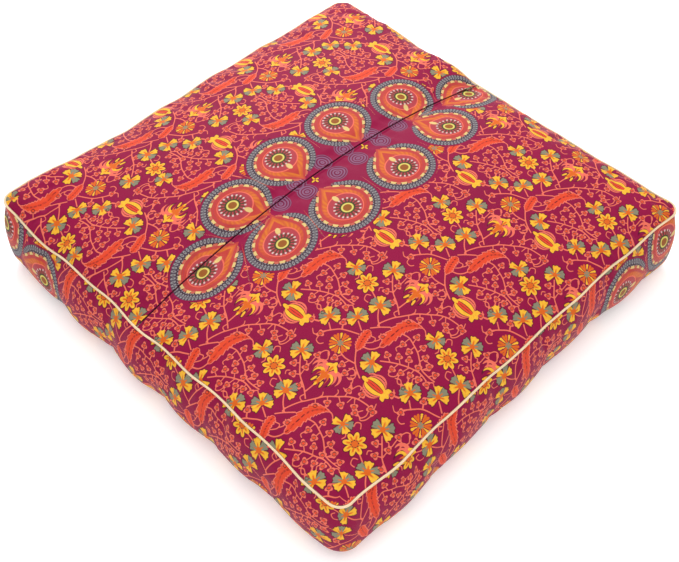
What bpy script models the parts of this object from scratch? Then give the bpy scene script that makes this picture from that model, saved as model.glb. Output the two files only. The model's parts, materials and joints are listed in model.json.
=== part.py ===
"""A square floor cushion: a zipped cover with a boxed side and a piped top edge, over a filled inner case.

The zip runs along Y across the crowned top, a little to the left of the middle.
Metres, +Z up, the underside on z = 0.
"""

import math

import bmesh
import bpy
from mathutils import Vector

# Overall cut of the cover
SIDE = 0.900  # seam to seam, both ways
SEAM_HEIGHT = 0.152  # of the piped top seam
CROWN = 0.070  # how far the middle of the top stands above its edge
CORNER_RADIUS = 0.028  # of the seam, seen from above
BAND_BULGE = 0.0175  # how far the boxing stands out past the seam
BAND_SHAPE = (  # down its side: how far out, in shares of the bulge, and how high, in shares of its height
    (0.49, 0.84), (0.77, 0.70), (0.94, 0.545), (1.0, 0.39),
    (0.97, 0.245), (0.80, 0.12), (0.46, 0.045), (-0.11, 0.008),
)

# Cloth and clearances
CLOTH = 0.0008
CASE_CLOTH = 0.0006
GAP = 0.0003  # between pieces that touch
ALLOWANCE = 0.009  # of a seam, turned in behind the piping

# Piping
CORD_RADIUS = 0.0012
PIPING_CLOTH = 0.0005

# Zip
ZIP_X = -0.048
SLOT = 0.0032  # between the two folded edges of the top
FOLD_WIDTH = 0.012
COIL_WIDTH = 0.0014
COIL_THICKNESS = 0.0015
COIL_SPLIT = 0.0016  # between the two halves of the coil
TAPE_WIDTH = 0.0135
TAPE_THICKNESS = 0.0005
TAPE_SETTLE = 0.0006  # how far the crown falls away across the width of a tape
TAPE_STEP = 0.0052  # from the zip's middle to where the tape climbs to the fold
SLIDER_LENGTH = 0.0090
SLIDER_WIDTH = 0.0074
WING = 0.0007
SLIDER_Y = 0.405  # where the closed zip's slider stands
PULL_LENGTH = 0.0240
PULL_WIDTH = 0.0054
PULL_THICKNESS = 0.0010

# Inner case
CASE_DROP = 0.0090  # from the top of the cover to the top of the case
CASE_SEAM_HEIGHT = 0.085
CASE_SWELL = 0.0020  # how far its seam stands out past the cover's
CASE_TOP_IN = 0.030  # from the cover's seam in to the edge of the case's top
CASE_REST_IN = 0.090  # and in to the flat that rests

# Underside
FLOOR_SEAM_IN = 0.0125  # from the top seam in to the lower seam
FLOOR_SEAM_HEIGHT = 0.0100
FLOOR_ROLL = 0.0475  # from the lower seam in to the flat that rests

# Smoothness
SIDE_STEPS = 12
CORNER_STEPS = 3
PANEL_ROWS = 32
ZIP_STEPS = 44
ROUND_STEPS = 10

HALF = SIDE / 2
PIPING_RADIUS = CORD_RADIUS + GAP + PIPING_CLOTH
FLANGE_HALF = GAP / 2 + PIPING_CLOTH
FLANGE_IN = PIPING_RADIUS + ALLOWANCE
PANEL_IN = PIPING_RADIUS + GAP / 2
PANEL_HALF = HALF - PANEL_IN
PANEL_RADIUS = CORNER_RADIUS - PANEL_IN
PANEL_BASE = SEAM_HEIGHT + FLANGE_HALF + GAP + CLOTH
FOLD_THICKNESS = 2 * CLOTH + GAP
ARC_RADIUS = (PANEL_HALF**2 + CROWN**2) / (2 * CROWN)
ARC_HEIGHT = PANEL_BASE + CROWN - ARC_RADIUS  # of the circle that the zip follows
SIDE_FULLNESS = 2.4  # the crown's shape from left to right: 2 is round, more is flatter
WING_RISE = COIL_THICKNESS / 2 + GAP
FOLD_OVER_COIL = WING_RISE + WING + 2.5 * GAP
COIL_RADIUS = ARC_RADIUS - FOLD_THICKNESS - FOLD_OVER_COIL
PIVOT_RISE = FOLD_OVER_COIL + FOLD_THICKNESS + PULL_THICKNESS + GAP
SLIDER_ANGLE = math.asin(SLIDER_Y / ARC_RADIUS)
ZIP_END = HALF - FLANGE_IN - 0.004

CLOTH_COLOUR = (0.27, 0.012, 0.085, 1.0)
PIPING_COLOUR = (0.80, 0.62, 0.36, 1.0)
CORD_COLOUR = (0.85, 0.82, 0.75, 1.0)
TAPE_COLOUR = (0.05, 0.008, 0.02, 1.0)
METAL_COLOUR = (0.22, 0.16, 0.09, 1.0)
CASE_COLOUR = (0.82, 0.80, 0.74, 1.0)
FILL_COLOUR = (0.90, 0.90, 0.88, 1.0)


def material(name, colour, roughness, metallic=0.0):
    made = bpy.data.materials.new(name)
    made.diffuse_color = colour
    made.use_nodes = True
    shader = made.node_tree.nodes["Principled BSDF"]
    shader.inputs["Base Color"].default_value = colour
    shader.inputs["Roughness"].default_value = roughness
    shader.inputs["Metallic"].default_value = metallic
    return made


def add_object(name, points, faces, surface, smooth=True):
    mesh = bpy.data.meshes.new(name)
    mesh.from_pydata([tuple(point) for point in points], [], faces)
    mesh.update()
    made = bpy.data.objects.new(name, mesh)
    bpy.context.scene.collection.objects.link(made)
    made.data.materials.append(surface)
    tidy = bmesh.new()
    tidy.from_mesh(mesh)
    loose = [point for point in tidy.verts if not point.link_faces]
    bmesh.ops.delete(tidy, geom=loose, context="VERTS")
    bmesh.ops.recalc_face_normals(tidy, faces=tidy.faces)
    tidy.to_mesh(mesh)
    tidy.free()
    if smooth:
        for face in mesh.polygons:
            face.use_smooth = True
    return made


def thicken(made, thickness, upwards_is_outside=True):
    """Gives a sheet its thickness on the inner side of the surface that was drawn."""
    tallest = max(made.data.polygons, key=lambda face: face.area * abs(face.normal.z))
    if (tallest.normal.z > 0) != upwards_is_outside:
        made.data.flip_normals()
    solid = made.modifiers.new("cloth", "SOLIDIFY")
    solid.thickness = thickness
    solid.offset = -1.0
    solid.use_even_offset = True
    return made


def corner_place(x, y, half, radius):
    """Moves a point of a square's corner onto the rounded corner. Elsewhere it stays."""
    start = half - radius
    a = (abs(x) - start) / radius
    b = (abs(y) - start) / radius
    if a <= 0 or b <= 0:
        return x, y
    shrink = max(a, b) / math.hypot(a, b)
    return (
        math.copysign(start + radius * a * shrink, x),
        math.copysign(start + radius * b * shrink, y),
    )


def line_places(half, radius):
    """Where the grid's lines stand along one side, closest in the rounded corners."""
    start = half - radius
    corner = [start + radius * step / CORNER_STEPS for step in range(CORNER_STEPS + 1)]
    middle = [
        start * math.sin(math.pi / 2 * (2 * step / SIDE_STEPS - 1)) for step in range(1, SIDE_STEPS)
    ]
    return [-place for place in reversed(corner)] + middle + corner


def ring(half, radius, height):
    """Points around a rounded square, counterclockwise from the front left corner's middle."""
    places = line_places(half, radius)
    square = [(place, -half) for place in places[:-1]]
    square += [(half, place) for place in places[:-1]]
    square += [(-place, half) for place in places[:-1]]
    square += [(-half, -place) for place in places[:-1]]
    placed = [corner_place(x, y, half, radius) for x, y in square]
    return [Vector((x, y, height)) for x, y in placed]


def band(name, outline, surface, first=0, count=None, closed_outline=False):
    """Sweeps (out, height) points around the seam: all the way, or count places from the first."""
    rings = [
        ring(HALF + out, CORNER_RADIUS + out, height) for out, height in outline
    ]
    around = len(rings[0])
    whole = count is None
    wanted = [(first + step) % around for step in range(around if whole else count + 1)]
    points = [rings[row][place] for place in wanted for row in range(len(outline))]
    rows = len(outline)
    faces = []
    for step in range(len(wanted) if whole else len(wanted) - 1):
        here = step * rows
        ahead = (step + 1) % len(wanted) * rows
        for row in range(rows if closed_outline else rows - 1):
            above = (row + 1) % rows
            faces.append((here + row, ahead + row, ahead + above, here + above))
    return add_object(name, points, faces, surface)


def arc_share(y):
    """How high the crown stands at y, as a share of its height: a circle's arc along the zip."""
    reach = min(abs(y), PANEL_HALF)
    return (math.sqrt(ARC_RADIUS**2 - reach**2) - ARC_RADIUS + CROWN) / CROWN


def side_share(x):
    return 1 - min(abs(x) / PANEL_HALF, 1.0) ** SIDE_FULLNESS


def crown_height(x, y):
    flat_zone = side_share(ZIP_X)
    return PANEL_BASE + CROWN * min(side_share(x) / flat_zone, 1.0) * arc_share(y)


def top_panel(name, side, surface):
    """Half of the top, from the zip's folded edge out to the seam: side is -1 for left, 1 for right."""
    edge = ZIP_X + side * SLOT / 2
    bend = FOLD_THICKNESS / 2
    lines = line_places(PANEL_HALF, PANEL_RADIUS)
    outer = [x for x in lines if side * (x - edge) > FOLD_WIDTH * 1.6]
    outer = outer if side > 0 else outer[::-1]
    stops = [(edge + side * FOLD_WIDTH * share, 0.0) for share in (0.2, 0.45, 0.75, 1.1)]
    stops = [(edge + side * bend, 0.0)] + stops + [(x, 0.0) for x in outer]
    turn = []
    for step in range(1, 6):
        angle = math.pi * step / 6
        turn.append((edge + side * bend * (1 - math.sin(angle)), bend * (1 - math.cos(angle))))
    under = [(edge + side * FOLD_WIDTH * share, FOLD_THICKNESS) for share in (0.08, 0.35, 0.65, 1)]
    path = under[::-1] + turn[::-1] + stops
    folded = len(under) + len(turn)
    straight = PANEL_HALF - PANEL_RADIUS
    rows = [y for y in lines if abs(y) >= straight]
    rows += [straight * (2 * step / PANEL_ROWS - 1) for step in range(1, PANEL_ROWS)]
    rows = sorted(rows)
    points = []
    for y in rows:
        for x, drop in path:
            placed_x, placed_y = corner_place(x, y, PANEL_HALF, PANEL_RADIUS)
            height = crown_height(x, y) - drop
            points.append((placed_x, placed_y, height))
    faces = []
    for row in range(len(rows) - 1):
        inside = max(abs(rows[row]), abs(rows[row + 1])) < HALF - FLANGE_IN - GAP
        for column in range(len(path) - 1):
            if column < folded and not inside:
                continue
            at = row * len(path) + column
            faces.append((at, at + 1, at + len(path) + 1, at + len(path)))
    return thicken(add_object(name, points, faces, surface), CLOTH)


def pillow(name, top, rings, bottom, surface):
    """A grid for the top, rings down the side and a grid for the bottom.

    Each grid is (half, radius, height function), or None, which leaves it open.
    """
    points = []
    faces = []
    borders = []
    for grid in (top, bottom):
        if grid is None:
            borders.append(None)
            continue
        half, radius, height_of = grid
        places = line_places(half, radius)
        size = len(places)
        first = len(points)
        for y in places:
            for x in places:
                placed_x, placed_y = corner_place(x, y, half, radius)
                points.append((placed_x, placed_y, height_of(x, y)))
        for row in range(size - 1):
            for column in range(size - 1):
                at = first + row * size + column
                faces.append((at, at + 1, at + size + 1, at + size))
        border = [first + column for column in range(size - 1)]
        border += [first + row * size + size - 1 for row in range(size - 1)]
        border += [first + (size - 1) * size + column for column in range(size - 1, 0, -1)]
        border += [first + row * size for row in range(size - 1, 0, -1)]
        borders.append(border)
    loops = [borders[0]] if borders[0] else []
    for half, radius, height in rings:
        around = ring(half, radius, height)
        loops.append(list(range(len(points), len(points) + len(around))))
        points.extend(around)
    if borders[1]:
        loops.append(borders[1])
    for upper, lower in zip(loops, loops[1:]):
        for step in range(len(upper)):
            ahead = (step + 1) % len(upper)
            faces.append((upper[step], upper[ahead], lower[ahead], lower[step]))
    return add_object(name, points, faces, surface)


def arc_strip(name, outline, surface, closed_outline):
    """Sweeps (x, rise above the coil's middle) points along the zip's arc, from end to end."""
    end = math.asin(ZIP_END / ARC_RADIUS)
    points = []
    for step in range(ZIP_STEPS + 1):
        angle = end * (2 * step / ZIP_STEPS - 1)
        for x, rise in outline:
            reach = COIL_RADIUS + rise
            points.append((x, reach * math.sin(angle), ARC_HEIGHT + reach * math.cos(angle)))
    rows = len(outline)
    faces = []
    for step in range(ZIP_STEPS):
        for row in range(rows if closed_outline else rows - 1):
            above = (row + 1) % rows
            here, ahead = step * rows, (step + 1) * rows
            faces.append((here + row, here + above, ahead + above, ahead + row))
    if closed_outline:
        faces.append(tuple(range(rows)))
        faces.append(tuple(range(ZIP_STEPS * rows, (ZIP_STEPS + 1) * rows)))
    return add_object(name, points, faces, surface)


def zip_tape(name, side, surface):
    inner = COIL_SPLIT / 2 + COIL_WIDTH + GAP
    climb = FOLD_OVER_COIL - GAP - TAPE_SETTLE
    low = TAPE_THICKNESS / 2
    outline = [
        (inner, low),
        (TAPE_STEP, low),
        (TAPE_STEP + 0.0024, climb),
        (TAPE_STEP + TAPE_WIDTH - inner, climb),
    ]
    outline = [(ZIP_X + side * x, rise) for x, rise in outline]
    return thicken(arc_strip(name, outline, surface, False), TAPE_THICKNESS)


def zip_coil(name, side, surface):
    middle = ZIP_X + side * (COIL_SPLIT + COIL_WIDTH) / 2
    outline = []
    for step in range(ROUND_STEPS):
        angle = 2 * math.pi * step / ROUND_STEPS
        outline.append((
            middle + COIL_WIDTH / 2 * math.cos(angle),
            COIL_THICKNESS / 2 * math.sin(angle),
        ))
    return arc_strip(name, outline, surface, True)


def block(name, low, high, surface, bevel):
    """A box between two corners, its edges rounded."""
    wide, deep, tall = zip(low, high)
    points = [(x, y, z) for x in wide for y in deep for z in tall]
    faces = [(0, 1, 3, 2), (4, 6, 7, 5), (0, 4, 5, 1), (2, 3, 7, 6), (0, 2, 6, 4), (1, 5, 7, 3)]
    made = add_object(name, points, faces, surface, smooth=False)
    rounded = made.modifiers.new("rounded", "BEVEL")
    rounded.width = bevel
    rounded.segments = 2
    return made


def join(made, other, operation):
    """Adds or cuts another block. The other one is kept as a helper that isn't part of the object."""
    change = made.modifiers.new(other.name, "BOOLEAN")
    change.operation = operation
    change.object = other
    change.solver = "EXACT"
    other.hide_render = True
    other.display_type = "WIRE"
    other.parent = made


def zip_slider(surface):
    """Two wings joined by a post in the coil's split, with rails outside the coil and a bridge."""
    long, wide = SLIDER_LENGTH / 2, SLIDER_WIDTH / 2
    top = WING_RISE + WING
    rail = TAPE_THICKNESS / 2 + GAP
    rail_in = COIL_SPLIT / 2 + COIL_WIDTH + GAP
    post = COIL_SPLIT / 2 - GAP
    arch_top = PIVOT_RISE + 0.0024
    arch_under = PIVOT_RISE + PULL_THICKNESS / 2 + 2 * GAP
    leg_in, leg_out, stem = 0.0024, 0.0036, 0.0008
    slider = block("zip_slider", (-wide, -long, WING_RISE), (wide, long, top), surface, WING * 0.3)
    more = [
        ("slider_wing_below", (-wide, -long, -top), (wide, long, -WING_RISE)),
        ("slider_post", (-post, long * 0.45, -top + 0.0002), (post, long * 0.85, top - 0.0002)),
        ("slider_bridge", (-stem, -leg_out, arch_under), (stem, leg_out, arch_top)),
        ("slider_leg_front", (-stem, -leg_out, top - 0.0003), (stem, -leg_in, arch_top - 0.0004)),
        ("slider_leg_back", (-stem, leg_in, top - 0.0003), (stem, leg_out, arch_top - 0.0004)),
    ]
    for side, word in ((-1, "left"), (1, "right")):
        for end, place in ((-1, "below"), (1, "above")):
            inner, outer = sorted((side * rail_in, side * (wide - 0.0001)))
            low, high = sorted((end * rail, end * (top - 0.0001)))
            near, far = (inner, -long + 0.0001, low), (outer, long - 0.0001, high)
            more.append((f"slider_rail_{word}_{place}", near, far))
    for name, low, high in more:
        join(slider, block(name, low, high, surface, 0.00012), "UNION")
    return slider


def zip_pull(surface):
    """A flat tab whose eye's bar lies under the slider's bridge: bar on the origin, pointing to +Y."""
    bar = PULL_THICKNESS / 2
    wide = PULL_WIDTH / 2
    eye_half = 0.0015
    eye_length = 0.0050
    pull = block("zip_pull", (-wide, -bar, -bar), (wide, PULL_LENGTH, bar), surface, PULL_THICKNESS * 0.3)
    eye = block("pull_eye", (-eye_half, bar, -0.002), (eye_half, eye_length, 0.002), surface, 0.0003)
    slot = block("pull_slot", (-eye_half * 0.7, PULL_LENGTH * 0.62, -0.002),
                 (eye_half * 0.7, PULL_LENGTH * 0.86, 0.002), surface, 0.0004)
    join(pull, eye, "DIFFERENCE")
    join(pull, slot, "DIFFERENCE")
    return pull


def piping(cover_surface, cord_surface):
    """A cord in a folded bias strip, whose two flat layers are caught in the seam."""
    inner, outer = CORD_RADIUS + GAP, PIPING_RADIUS
    slit = GAP / 2
    inner_end = math.asin(slit / inner)
    outer_end = math.asin(FLANGE_HALF / outer)
    outline = [(-FLANGE_IN, slit)]
    for step in range(ROUND_STEPS + 1):
        angle = math.pi - inner_end - (2 * math.pi - 2 * inner_end) * step / ROUND_STEPS
        outline.append((inner * math.cos(angle), inner * math.sin(angle)))
    outline += [(-FLANGE_IN, -slit), (-FLANGE_IN, -FLANGE_HALF)]
    for step in range(ROUND_STEPS + 1):
        angle = -math.pi + outer_end + (2 * math.pi - 2 * outer_end) * step / ROUND_STEPS
        outline.append((outer * math.cos(angle), outer * math.sin(angle)))
    outline.append((-FLANGE_IN, FLANGE_HALF))
    outline = [(out, SEAM_HEIGHT + rise) for out, rise in outline]
    band("piping_cover", outline, cover_surface, closed_outline=True)
    cord = []
    for step in range(ROUND_STEPS):
        angle = 2 * math.pi * step / ROUND_STEPS
        cord.append((CORD_RADIUS * math.cos(angle), SEAM_HEIGHT + CORD_RADIUS * math.sin(angle)))
    band("piping_cord", cord, cord_surface, closed_outline=True)


def boxing_outline():
    """From the allowance under the piping, down the bulging side, to that of the lower seam."""
    under_piping = SEAM_HEIGHT - FLANGE_HALF - GAP
    upper = [
        (-FLANGE_IN, under_piping),
        (-PIPING_RADIUS - 0.0020, under_piping),
        (-PIPING_RADIUS - 0.0002, under_piping - 0.0013),
        (-0.0010, under_piping - 0.0032),
        (0.0016, under_piping - 0.0056),
    ]
    lower_seam = (-FLOOR_SEAM_IN, FLOOR_SEAM_HEIGHT)
    drop = upper[-1][1] - FLOOR_SEAM_HEIGHT
    side = [(out * BAND_BULGE, FLOOR_SEAM_HEIGHT + high * drop) for out, high in BAND_SHAPE]
    return upper + side + [lower_seam, (-FLOOR_SEAM_IN - ALLOWANCE, FLOOR_SEAM_HEIGHT - 0.0004)]


def boxing(surface):
    """Two lengths of boxing, each round one corner, that meet at the left and right corners."""
    outline = boxing_outline()
    quarter = len(ring(HALF, CORNER_RADIUS, 0.0)) // 4
    for name, first in (("boxing_front_right", 0), ("boxing_back_left", 2 * quarter)):
        made = band(name, outline, surface, first=first, count=2 * quarter)
        points = made.data.vertices
        rows = len(outline)
        for row in range(rows):
            last = len(points) - rows + row
            for end, inner in ((row, row + rows), (last, last - rows)):
                along = (points[inner].co - points[end].co).normalized()
                points[end].co += along * GAP * 0.6
        outward = max(made.data.polygons, key=lambda face: face.area)
        centre = outward.center
        if outward.normal.x * centre.x + outward.normal.y * centre.y < 0:
            made.data.flip_normals()
        solid = made.modifiers.new("cloth", "SOLIDIFY")
        solid.thickness = CLOTH
        solid.offset = -1.0
        solid.use_even_offset = True


def underside_height(x, y):
    """The lower face of the bottom panel: flat where it rests, rolling up to the lower seam."""
    edge = HALF - FLOOR_SEAM_IN
    past = max(abs(x), abs(y)) - (edge - FLOOR_ROLL)
    lift = FLOOR_SEAM_HEIGHT - 0.0004 - GAP - CLOTH
    return lift * max(past / FLOOR_ROLL, 0.0) ** 2


def case_top_height(drop):
    """The case's top follows the cover's, lower by drop, and a little more at its own edge."""
    edge = HALF - CASE_TOP_IN

    def height(x, y):
        wide = min(max(abs(x), abs(y)) / edge, 1.0)
        return crown_height(x, y) - drop - 0.0035 * wide**6

    return height


def inset_rings(rings, distance):
    """The same rings, less the first and last, moved in square to the surface that they lie on."""
    moved = []
    for before, (half, radius, height), after in zip(rings, rings[1:], rings[2:]):
        along = Vector((after[0] - before[0], after[2] - before[2])).normalized()
        moved.append((half + along.y * distance, radius, height - along.x * distance))
    return moved


def inner_case(case_cloth, fill):
    """A plain case in two halves that meet in a seam round the middle, and the fibre that fills it."""
    seam_ring = (HALF + CASE_SWELL, 0.052)
    upper_rings = [
        (HALF - 0.0190, 0.046, SEAM_HEIGHT - 0.0040),
        (HALF - 0.0120, 0.048, SEAM_HEIGHT - 0.0130),
        (HALF - 0.0030, 0.050, (SEAM_HEIGHT + CASE_SEAM_HEIGHT) / 2),
    ]
    lower_rings = [
        (HALF - 0.0040, 0.050, CASE_SEAM_HEIGHT * 0.48),
        (HALF - 0.0160, 0.048, CASE_SEAM_HEIGHT * 0.25),
        (HALF - 0.0270, 0.046, 0.0150),
        (HALF - 0.0330, 0.045, 0.0085),
    ]
    rest = CLOTH + GAP
    top_half = HALF - CASE_TOP_IN
    bottom_half = HALF - CASE_REST_IN
    upper = pillow(
        "inner_case_top",
        (top_half, 0.045, case_top_height(CASE_DROP)),
        upper_rings + [(*seam_ring, CASE_SEAM_HEIGHT + GAP / 2)],
        None,
        case_cloth,
    )
    thicken(upper, CASE_CLOTH)
    lower = pillow(
        "inner_case_bottom",
        None,
        [(*seam_ring, CASE_SEAM_HEIGHT - GAP / 2)] + lower_rings,
        (bottom_half, 0.045, lambda x, y: rest),
        case_cloth,
    )
    thicken(lower, CASE_CLOTH, upwards_is_outside=False)

    inside = CASE_CLOTH + GAP
    clear = 1.2 * inside
    outside = upper_rings + [(*seam_ring, CASE_SEAM_HEIGHT)] + lower_rings
    ends = [(top_half, 0.045, upper_rings[0][2] + 0.004), (bottom_half, 0.045, rest)]
    slimmer = inset_rings([ends[0]] + outside + [ends[1]], 1.4 * inside)
    pillow(
        "filling",
        (top_half - clear, 0.045, case_top_height(CASE_DROP + 2 * inside)),
        slimmer,
        (bottom_half - clear, 0.045, lambda x, y: rest + clear),
        fill,
    )


def main():
    for old in list(bpy.data.objects):
        bpy.data.objects.remove(old, do_unlink=True)

    cloth = material("printed_cotton", CLOTH_COLOUR, 0.75)
    piping_cloth = material("piping_satin", PIPING_COLOUR, 0.45)
    cord_cotton = material("cord_cotton", CORD_COLOUR, 0.9)
    tape = material("zip_nylon", TAPE_COLOUR, 0.6)
    metal = material("slider_metal", METAL_COLOUR, 0.35, metallic=1.0)
    case_cloth = material("case_cotton", CASE_COLOUR, 0.85)
    fill = material("fibre_fill", FILL_COLOUR, 0.95)

    top_panel("top_panel_left", -1, cloth)
    top_panel("top_panel_right", 1, cloth)
    boxing(cloth)
    piping(piping_cloth, cord_cotton)

    seam_in = FLOOR_SEAM_IN + GAP
    seam_grid = (HALF - seam_in, CORNER_RADIUS - seam_in, underside_height)
    thicken(pillow("bottom_panel", None, [], seam_grid, cloth), CLOTH, upwards_is_outside=False)

    zip_tape("zip_tape_left", -1, tape)
    zip_tape("zip_tape_right", 1, tape)
    zip_coil("zip_coil_left", -1, tape)
    zip_coil("zip_coil_right", 1, tape)

    # The slider turns about the centre of the zip's arc, so it follows the crown as it travels.
    arc_centre = bpy.data.objects.new("zip_arc_centre", None)
    arc_centre.location = (ZIP_X, 0.0, ARC_HEIGHT)
    arc_centre.rotation_euler = (-SLIDER_ANGLE, 0.0, 0.0)
    bpy.context.scene.collection.objects.link(arc_centre)
    slider = zip_slider(metal)
    slider.parent = arc_centre
    slider.location = (0.0, 0.0, COIL_RADIUS)
    pull = zip_pull(metal)
    pull.parent = arc_centre
    pull.location = (0.0, 0.0, COIL_RADIUS + PIVOT_RISE)

    inner_case(case_cloth, fill)


main()
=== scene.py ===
"""A square floor cushion in a printed and piped cotton cover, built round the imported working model.

Run as a script. Everything is in metres, in the frame of the working model: the zip runs along Y
across the crowned top.
"""

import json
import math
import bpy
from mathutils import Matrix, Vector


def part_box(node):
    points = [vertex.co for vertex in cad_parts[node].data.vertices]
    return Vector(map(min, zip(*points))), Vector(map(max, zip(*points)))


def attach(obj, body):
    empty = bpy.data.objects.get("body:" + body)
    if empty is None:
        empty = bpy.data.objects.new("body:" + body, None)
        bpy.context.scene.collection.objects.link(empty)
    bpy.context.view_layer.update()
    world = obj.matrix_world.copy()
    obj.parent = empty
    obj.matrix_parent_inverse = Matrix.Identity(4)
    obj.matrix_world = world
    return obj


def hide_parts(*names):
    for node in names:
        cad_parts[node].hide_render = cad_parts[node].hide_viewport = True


bl_info = {
    "name": "Printed floor cushion",
    "version": (1, 0, 0),
    "blender": (4, 5, 0),
    "location": "View3D > Sidebar > Cushion",
    "description": "Builds a boxed floor cushion: printed cover, piping, zip and a filled inner case",
    "category": "Add Mesh",
}

import bmesh
import bpy
import numpy as np
from mathutils import Vector

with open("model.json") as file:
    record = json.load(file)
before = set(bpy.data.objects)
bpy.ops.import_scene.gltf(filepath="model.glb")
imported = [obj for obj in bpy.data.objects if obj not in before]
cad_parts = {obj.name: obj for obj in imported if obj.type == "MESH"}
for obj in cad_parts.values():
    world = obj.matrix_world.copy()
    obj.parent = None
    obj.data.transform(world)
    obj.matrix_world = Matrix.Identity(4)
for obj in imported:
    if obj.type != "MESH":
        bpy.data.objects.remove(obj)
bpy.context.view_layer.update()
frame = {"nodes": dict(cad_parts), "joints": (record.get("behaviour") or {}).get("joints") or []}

# Sizes that come from the working model
PIPING_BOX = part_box("piping_cover")
PIPING_RADIUS = (PIPING_BOX[1].z - PIPING_BOX[0].z) / 2
SEAM_Z = (PIPING_BOX[1].z + PIPING_BOX[0].z) / 2
HALF = PIPING_BOX[1].x - PIPING_RADIUS
PANEL_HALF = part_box("top_panel_right")[1].x
CROWN_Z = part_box("top_panel_right")[1].z
SLOT_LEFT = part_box("top_panel_left")[1].x
SLOT_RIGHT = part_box("top_panel_right")[0].x
ZIP_X = (SLOT_LEFT + SLOT_RIGHT) / 2
COIL_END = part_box("zip_coil_left")[1].y
BOXING_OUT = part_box("boxing_front_right")[1].x - HALF
FLOOR_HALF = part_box("bottom_panel")[1].x
FLOOR_SEAM_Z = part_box("bottom_panel")[1].z
ZIP_JOINT = next(joint for joint in frame["joints"] if joint["name"] == "zip_travel")
ARC_Z = ZIP_JOINT["pos_m"][2]
ARC_RADIUS = CROWN_Z - ARC_Z
CROWN = ARC_RADIUS - math.sqrt(ARC_RADIUS**2 - PANEL_HALF**2)
PANEL_Z = CROWN_Z - CROWN

# Sewing sizes
CORNER_RADIUS = 0.028
ALLOWANCE = 0.009
FOLD_THICKNESS = 0.0019
FOLD_WIDTH = 0.011
FLOOR_ROLL = 0.0475
CASE_DROP = 0.0088
CASE_THICKNESS = 0.0012
RESTING = 0.0004

# The piping's strip: out past its radius, in from it to the cord, half the slit, and the cloth
STRIP_OUT, STRIP_IN, STRIP_SLIT, STRIP_CLOTH = 0.0001, 0.0005, 0.00015, 0.0005
STRIP_COLUMNS, CORD_COLUMNS, CORD_POINTS = 1600, 1200, 18

# Past the coil's ends the slot closes: over this length, this far into the cloth, to this half gap
SHUT_LENGTH, SHUT_REACH, SHUT_GAP = 0.004, 0.008, 0.0003
# The settling fades in beside the zip from here, over this width
LOOSE_FROM, LOOSE_OVER = 0.010, 0.020
MM = 0.001

# How finely the cloth is drawn
FINE = 0.0014
SIM_LINES = 61
SIM_ROWS = 9
SIM_STEPS = 20
SIM_LIMIT = 0.010

# Soft dips of the piped edge: side (0 front, 1 right, 2 back, 3 left), place along it, spread, rise
EDGE_DIPS = [
    (0, -0.330, 0.070, -0.012),
    (0, 0.220, 0.120, 0.012),
    (1, -0.305, 0.090, -0.012),
    (1, -0.060, 0.060, -0.004),
    (1, 0.240, 0.110, 0.005),
    (2, -0.120, 0.060, 0.010),
    (2, -0.300, 0.090, 0.006),
    (3, -0.340, 0.090, 0.012),
    (3, 0.100, 0.180, 0.006),
]
# Small even waves of the same edge: height, length, phase. Each side starts them further on.
EDGE_RIPPLES = [(0.0009, 0.131, 0.3), (0.0004, 0.067, 1.9)]
SIDE_PHASE = 1.7
EDGE_FADE = 0.060

# Where the side band bellies out more, or less: place along the seam from the front left corner,
# spread, and how far. Its even swell and its tuck at the corners come after.
FULL_SIDES = [(0.50, 0.16, 0.011), (0.21, 0.09, 0.014), (1.10, 0.10, 0.002), (1.50, 0.25, -0.005)]
BAND_SWELL, BAND_SWELL_LENGTH = 0.0018, 0.33
BAND_TUCK, BAND_TUCK_REACH = 0.0035, 0.05

# Corners that stand out or draw in: (x side, y side, out along both, up), and how far round each
CORNER_PULLS = [(-1, -1, 0.003, 0.012), (1, -1, -0.002, -0.002)]
CORNER_REACH = 0.07

# How far the left and back seams lean out, and how far each side sways, with the waves' length and phase
SIDE_LEAN = (0.009, 0.004)
SWAY = 0.0014
SWAY_ALONG_Y, SWAY_ALONG_X = (0.151, 2.1), (0.143, 0.8)

# How near the zip the edge stays level, the cloth keeps its place along it, and the settling is held
ZIP_LEVEL, ZIP_STILL, ZIP_HELD = 0.030, 0.040, 0.020

# The top's puff beside its seams: least rise, how near the zip it starts, how soon it rises at the
# piping, how softly the corners round, and the reach from its lowest corner to its fullest
PUFF_LEAST, PUFF_FROM_ZIP, PUFF_RISE, PUFF_CORNER, PUFF_SPAN = 0.003, 0.07, 0.015, 0.012, 1.8

# Puckers beside a seam: depth, distance from the seam, spread
ZIP_PUCKER = (0.0011, 0.016, 0.011)
PIPING_PUCKER = (0.0013, 0.012, 0.010)
ZIP_DIP, ZIP_DIP_REACH, ZIP_FOLD = 0.0016, 0.020, 0.004
BAND_PUCKER = 0.0011

# The side band's shape: how far out, as a share of its bulge, and how high, as a share of its height
BAND_SHAPE = [
    (0.30, 0.915), (0.52, 0.83), (0.78, 0.70), (0.94, 0.55), (1.0, 0.40), (0.985, 0.26),
    (0.88, 0.145), (0.62, 0.065), (0.22, 0.022), (-0.25, 0.006),
]
# How the band leaves the piping: out and rise from the seam
BAND_START = [(-0.0110, -0.0012), (-0.0042, -0.0013), (-0.0014, -0.0036), (0.0014, -0.0072)]

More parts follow.
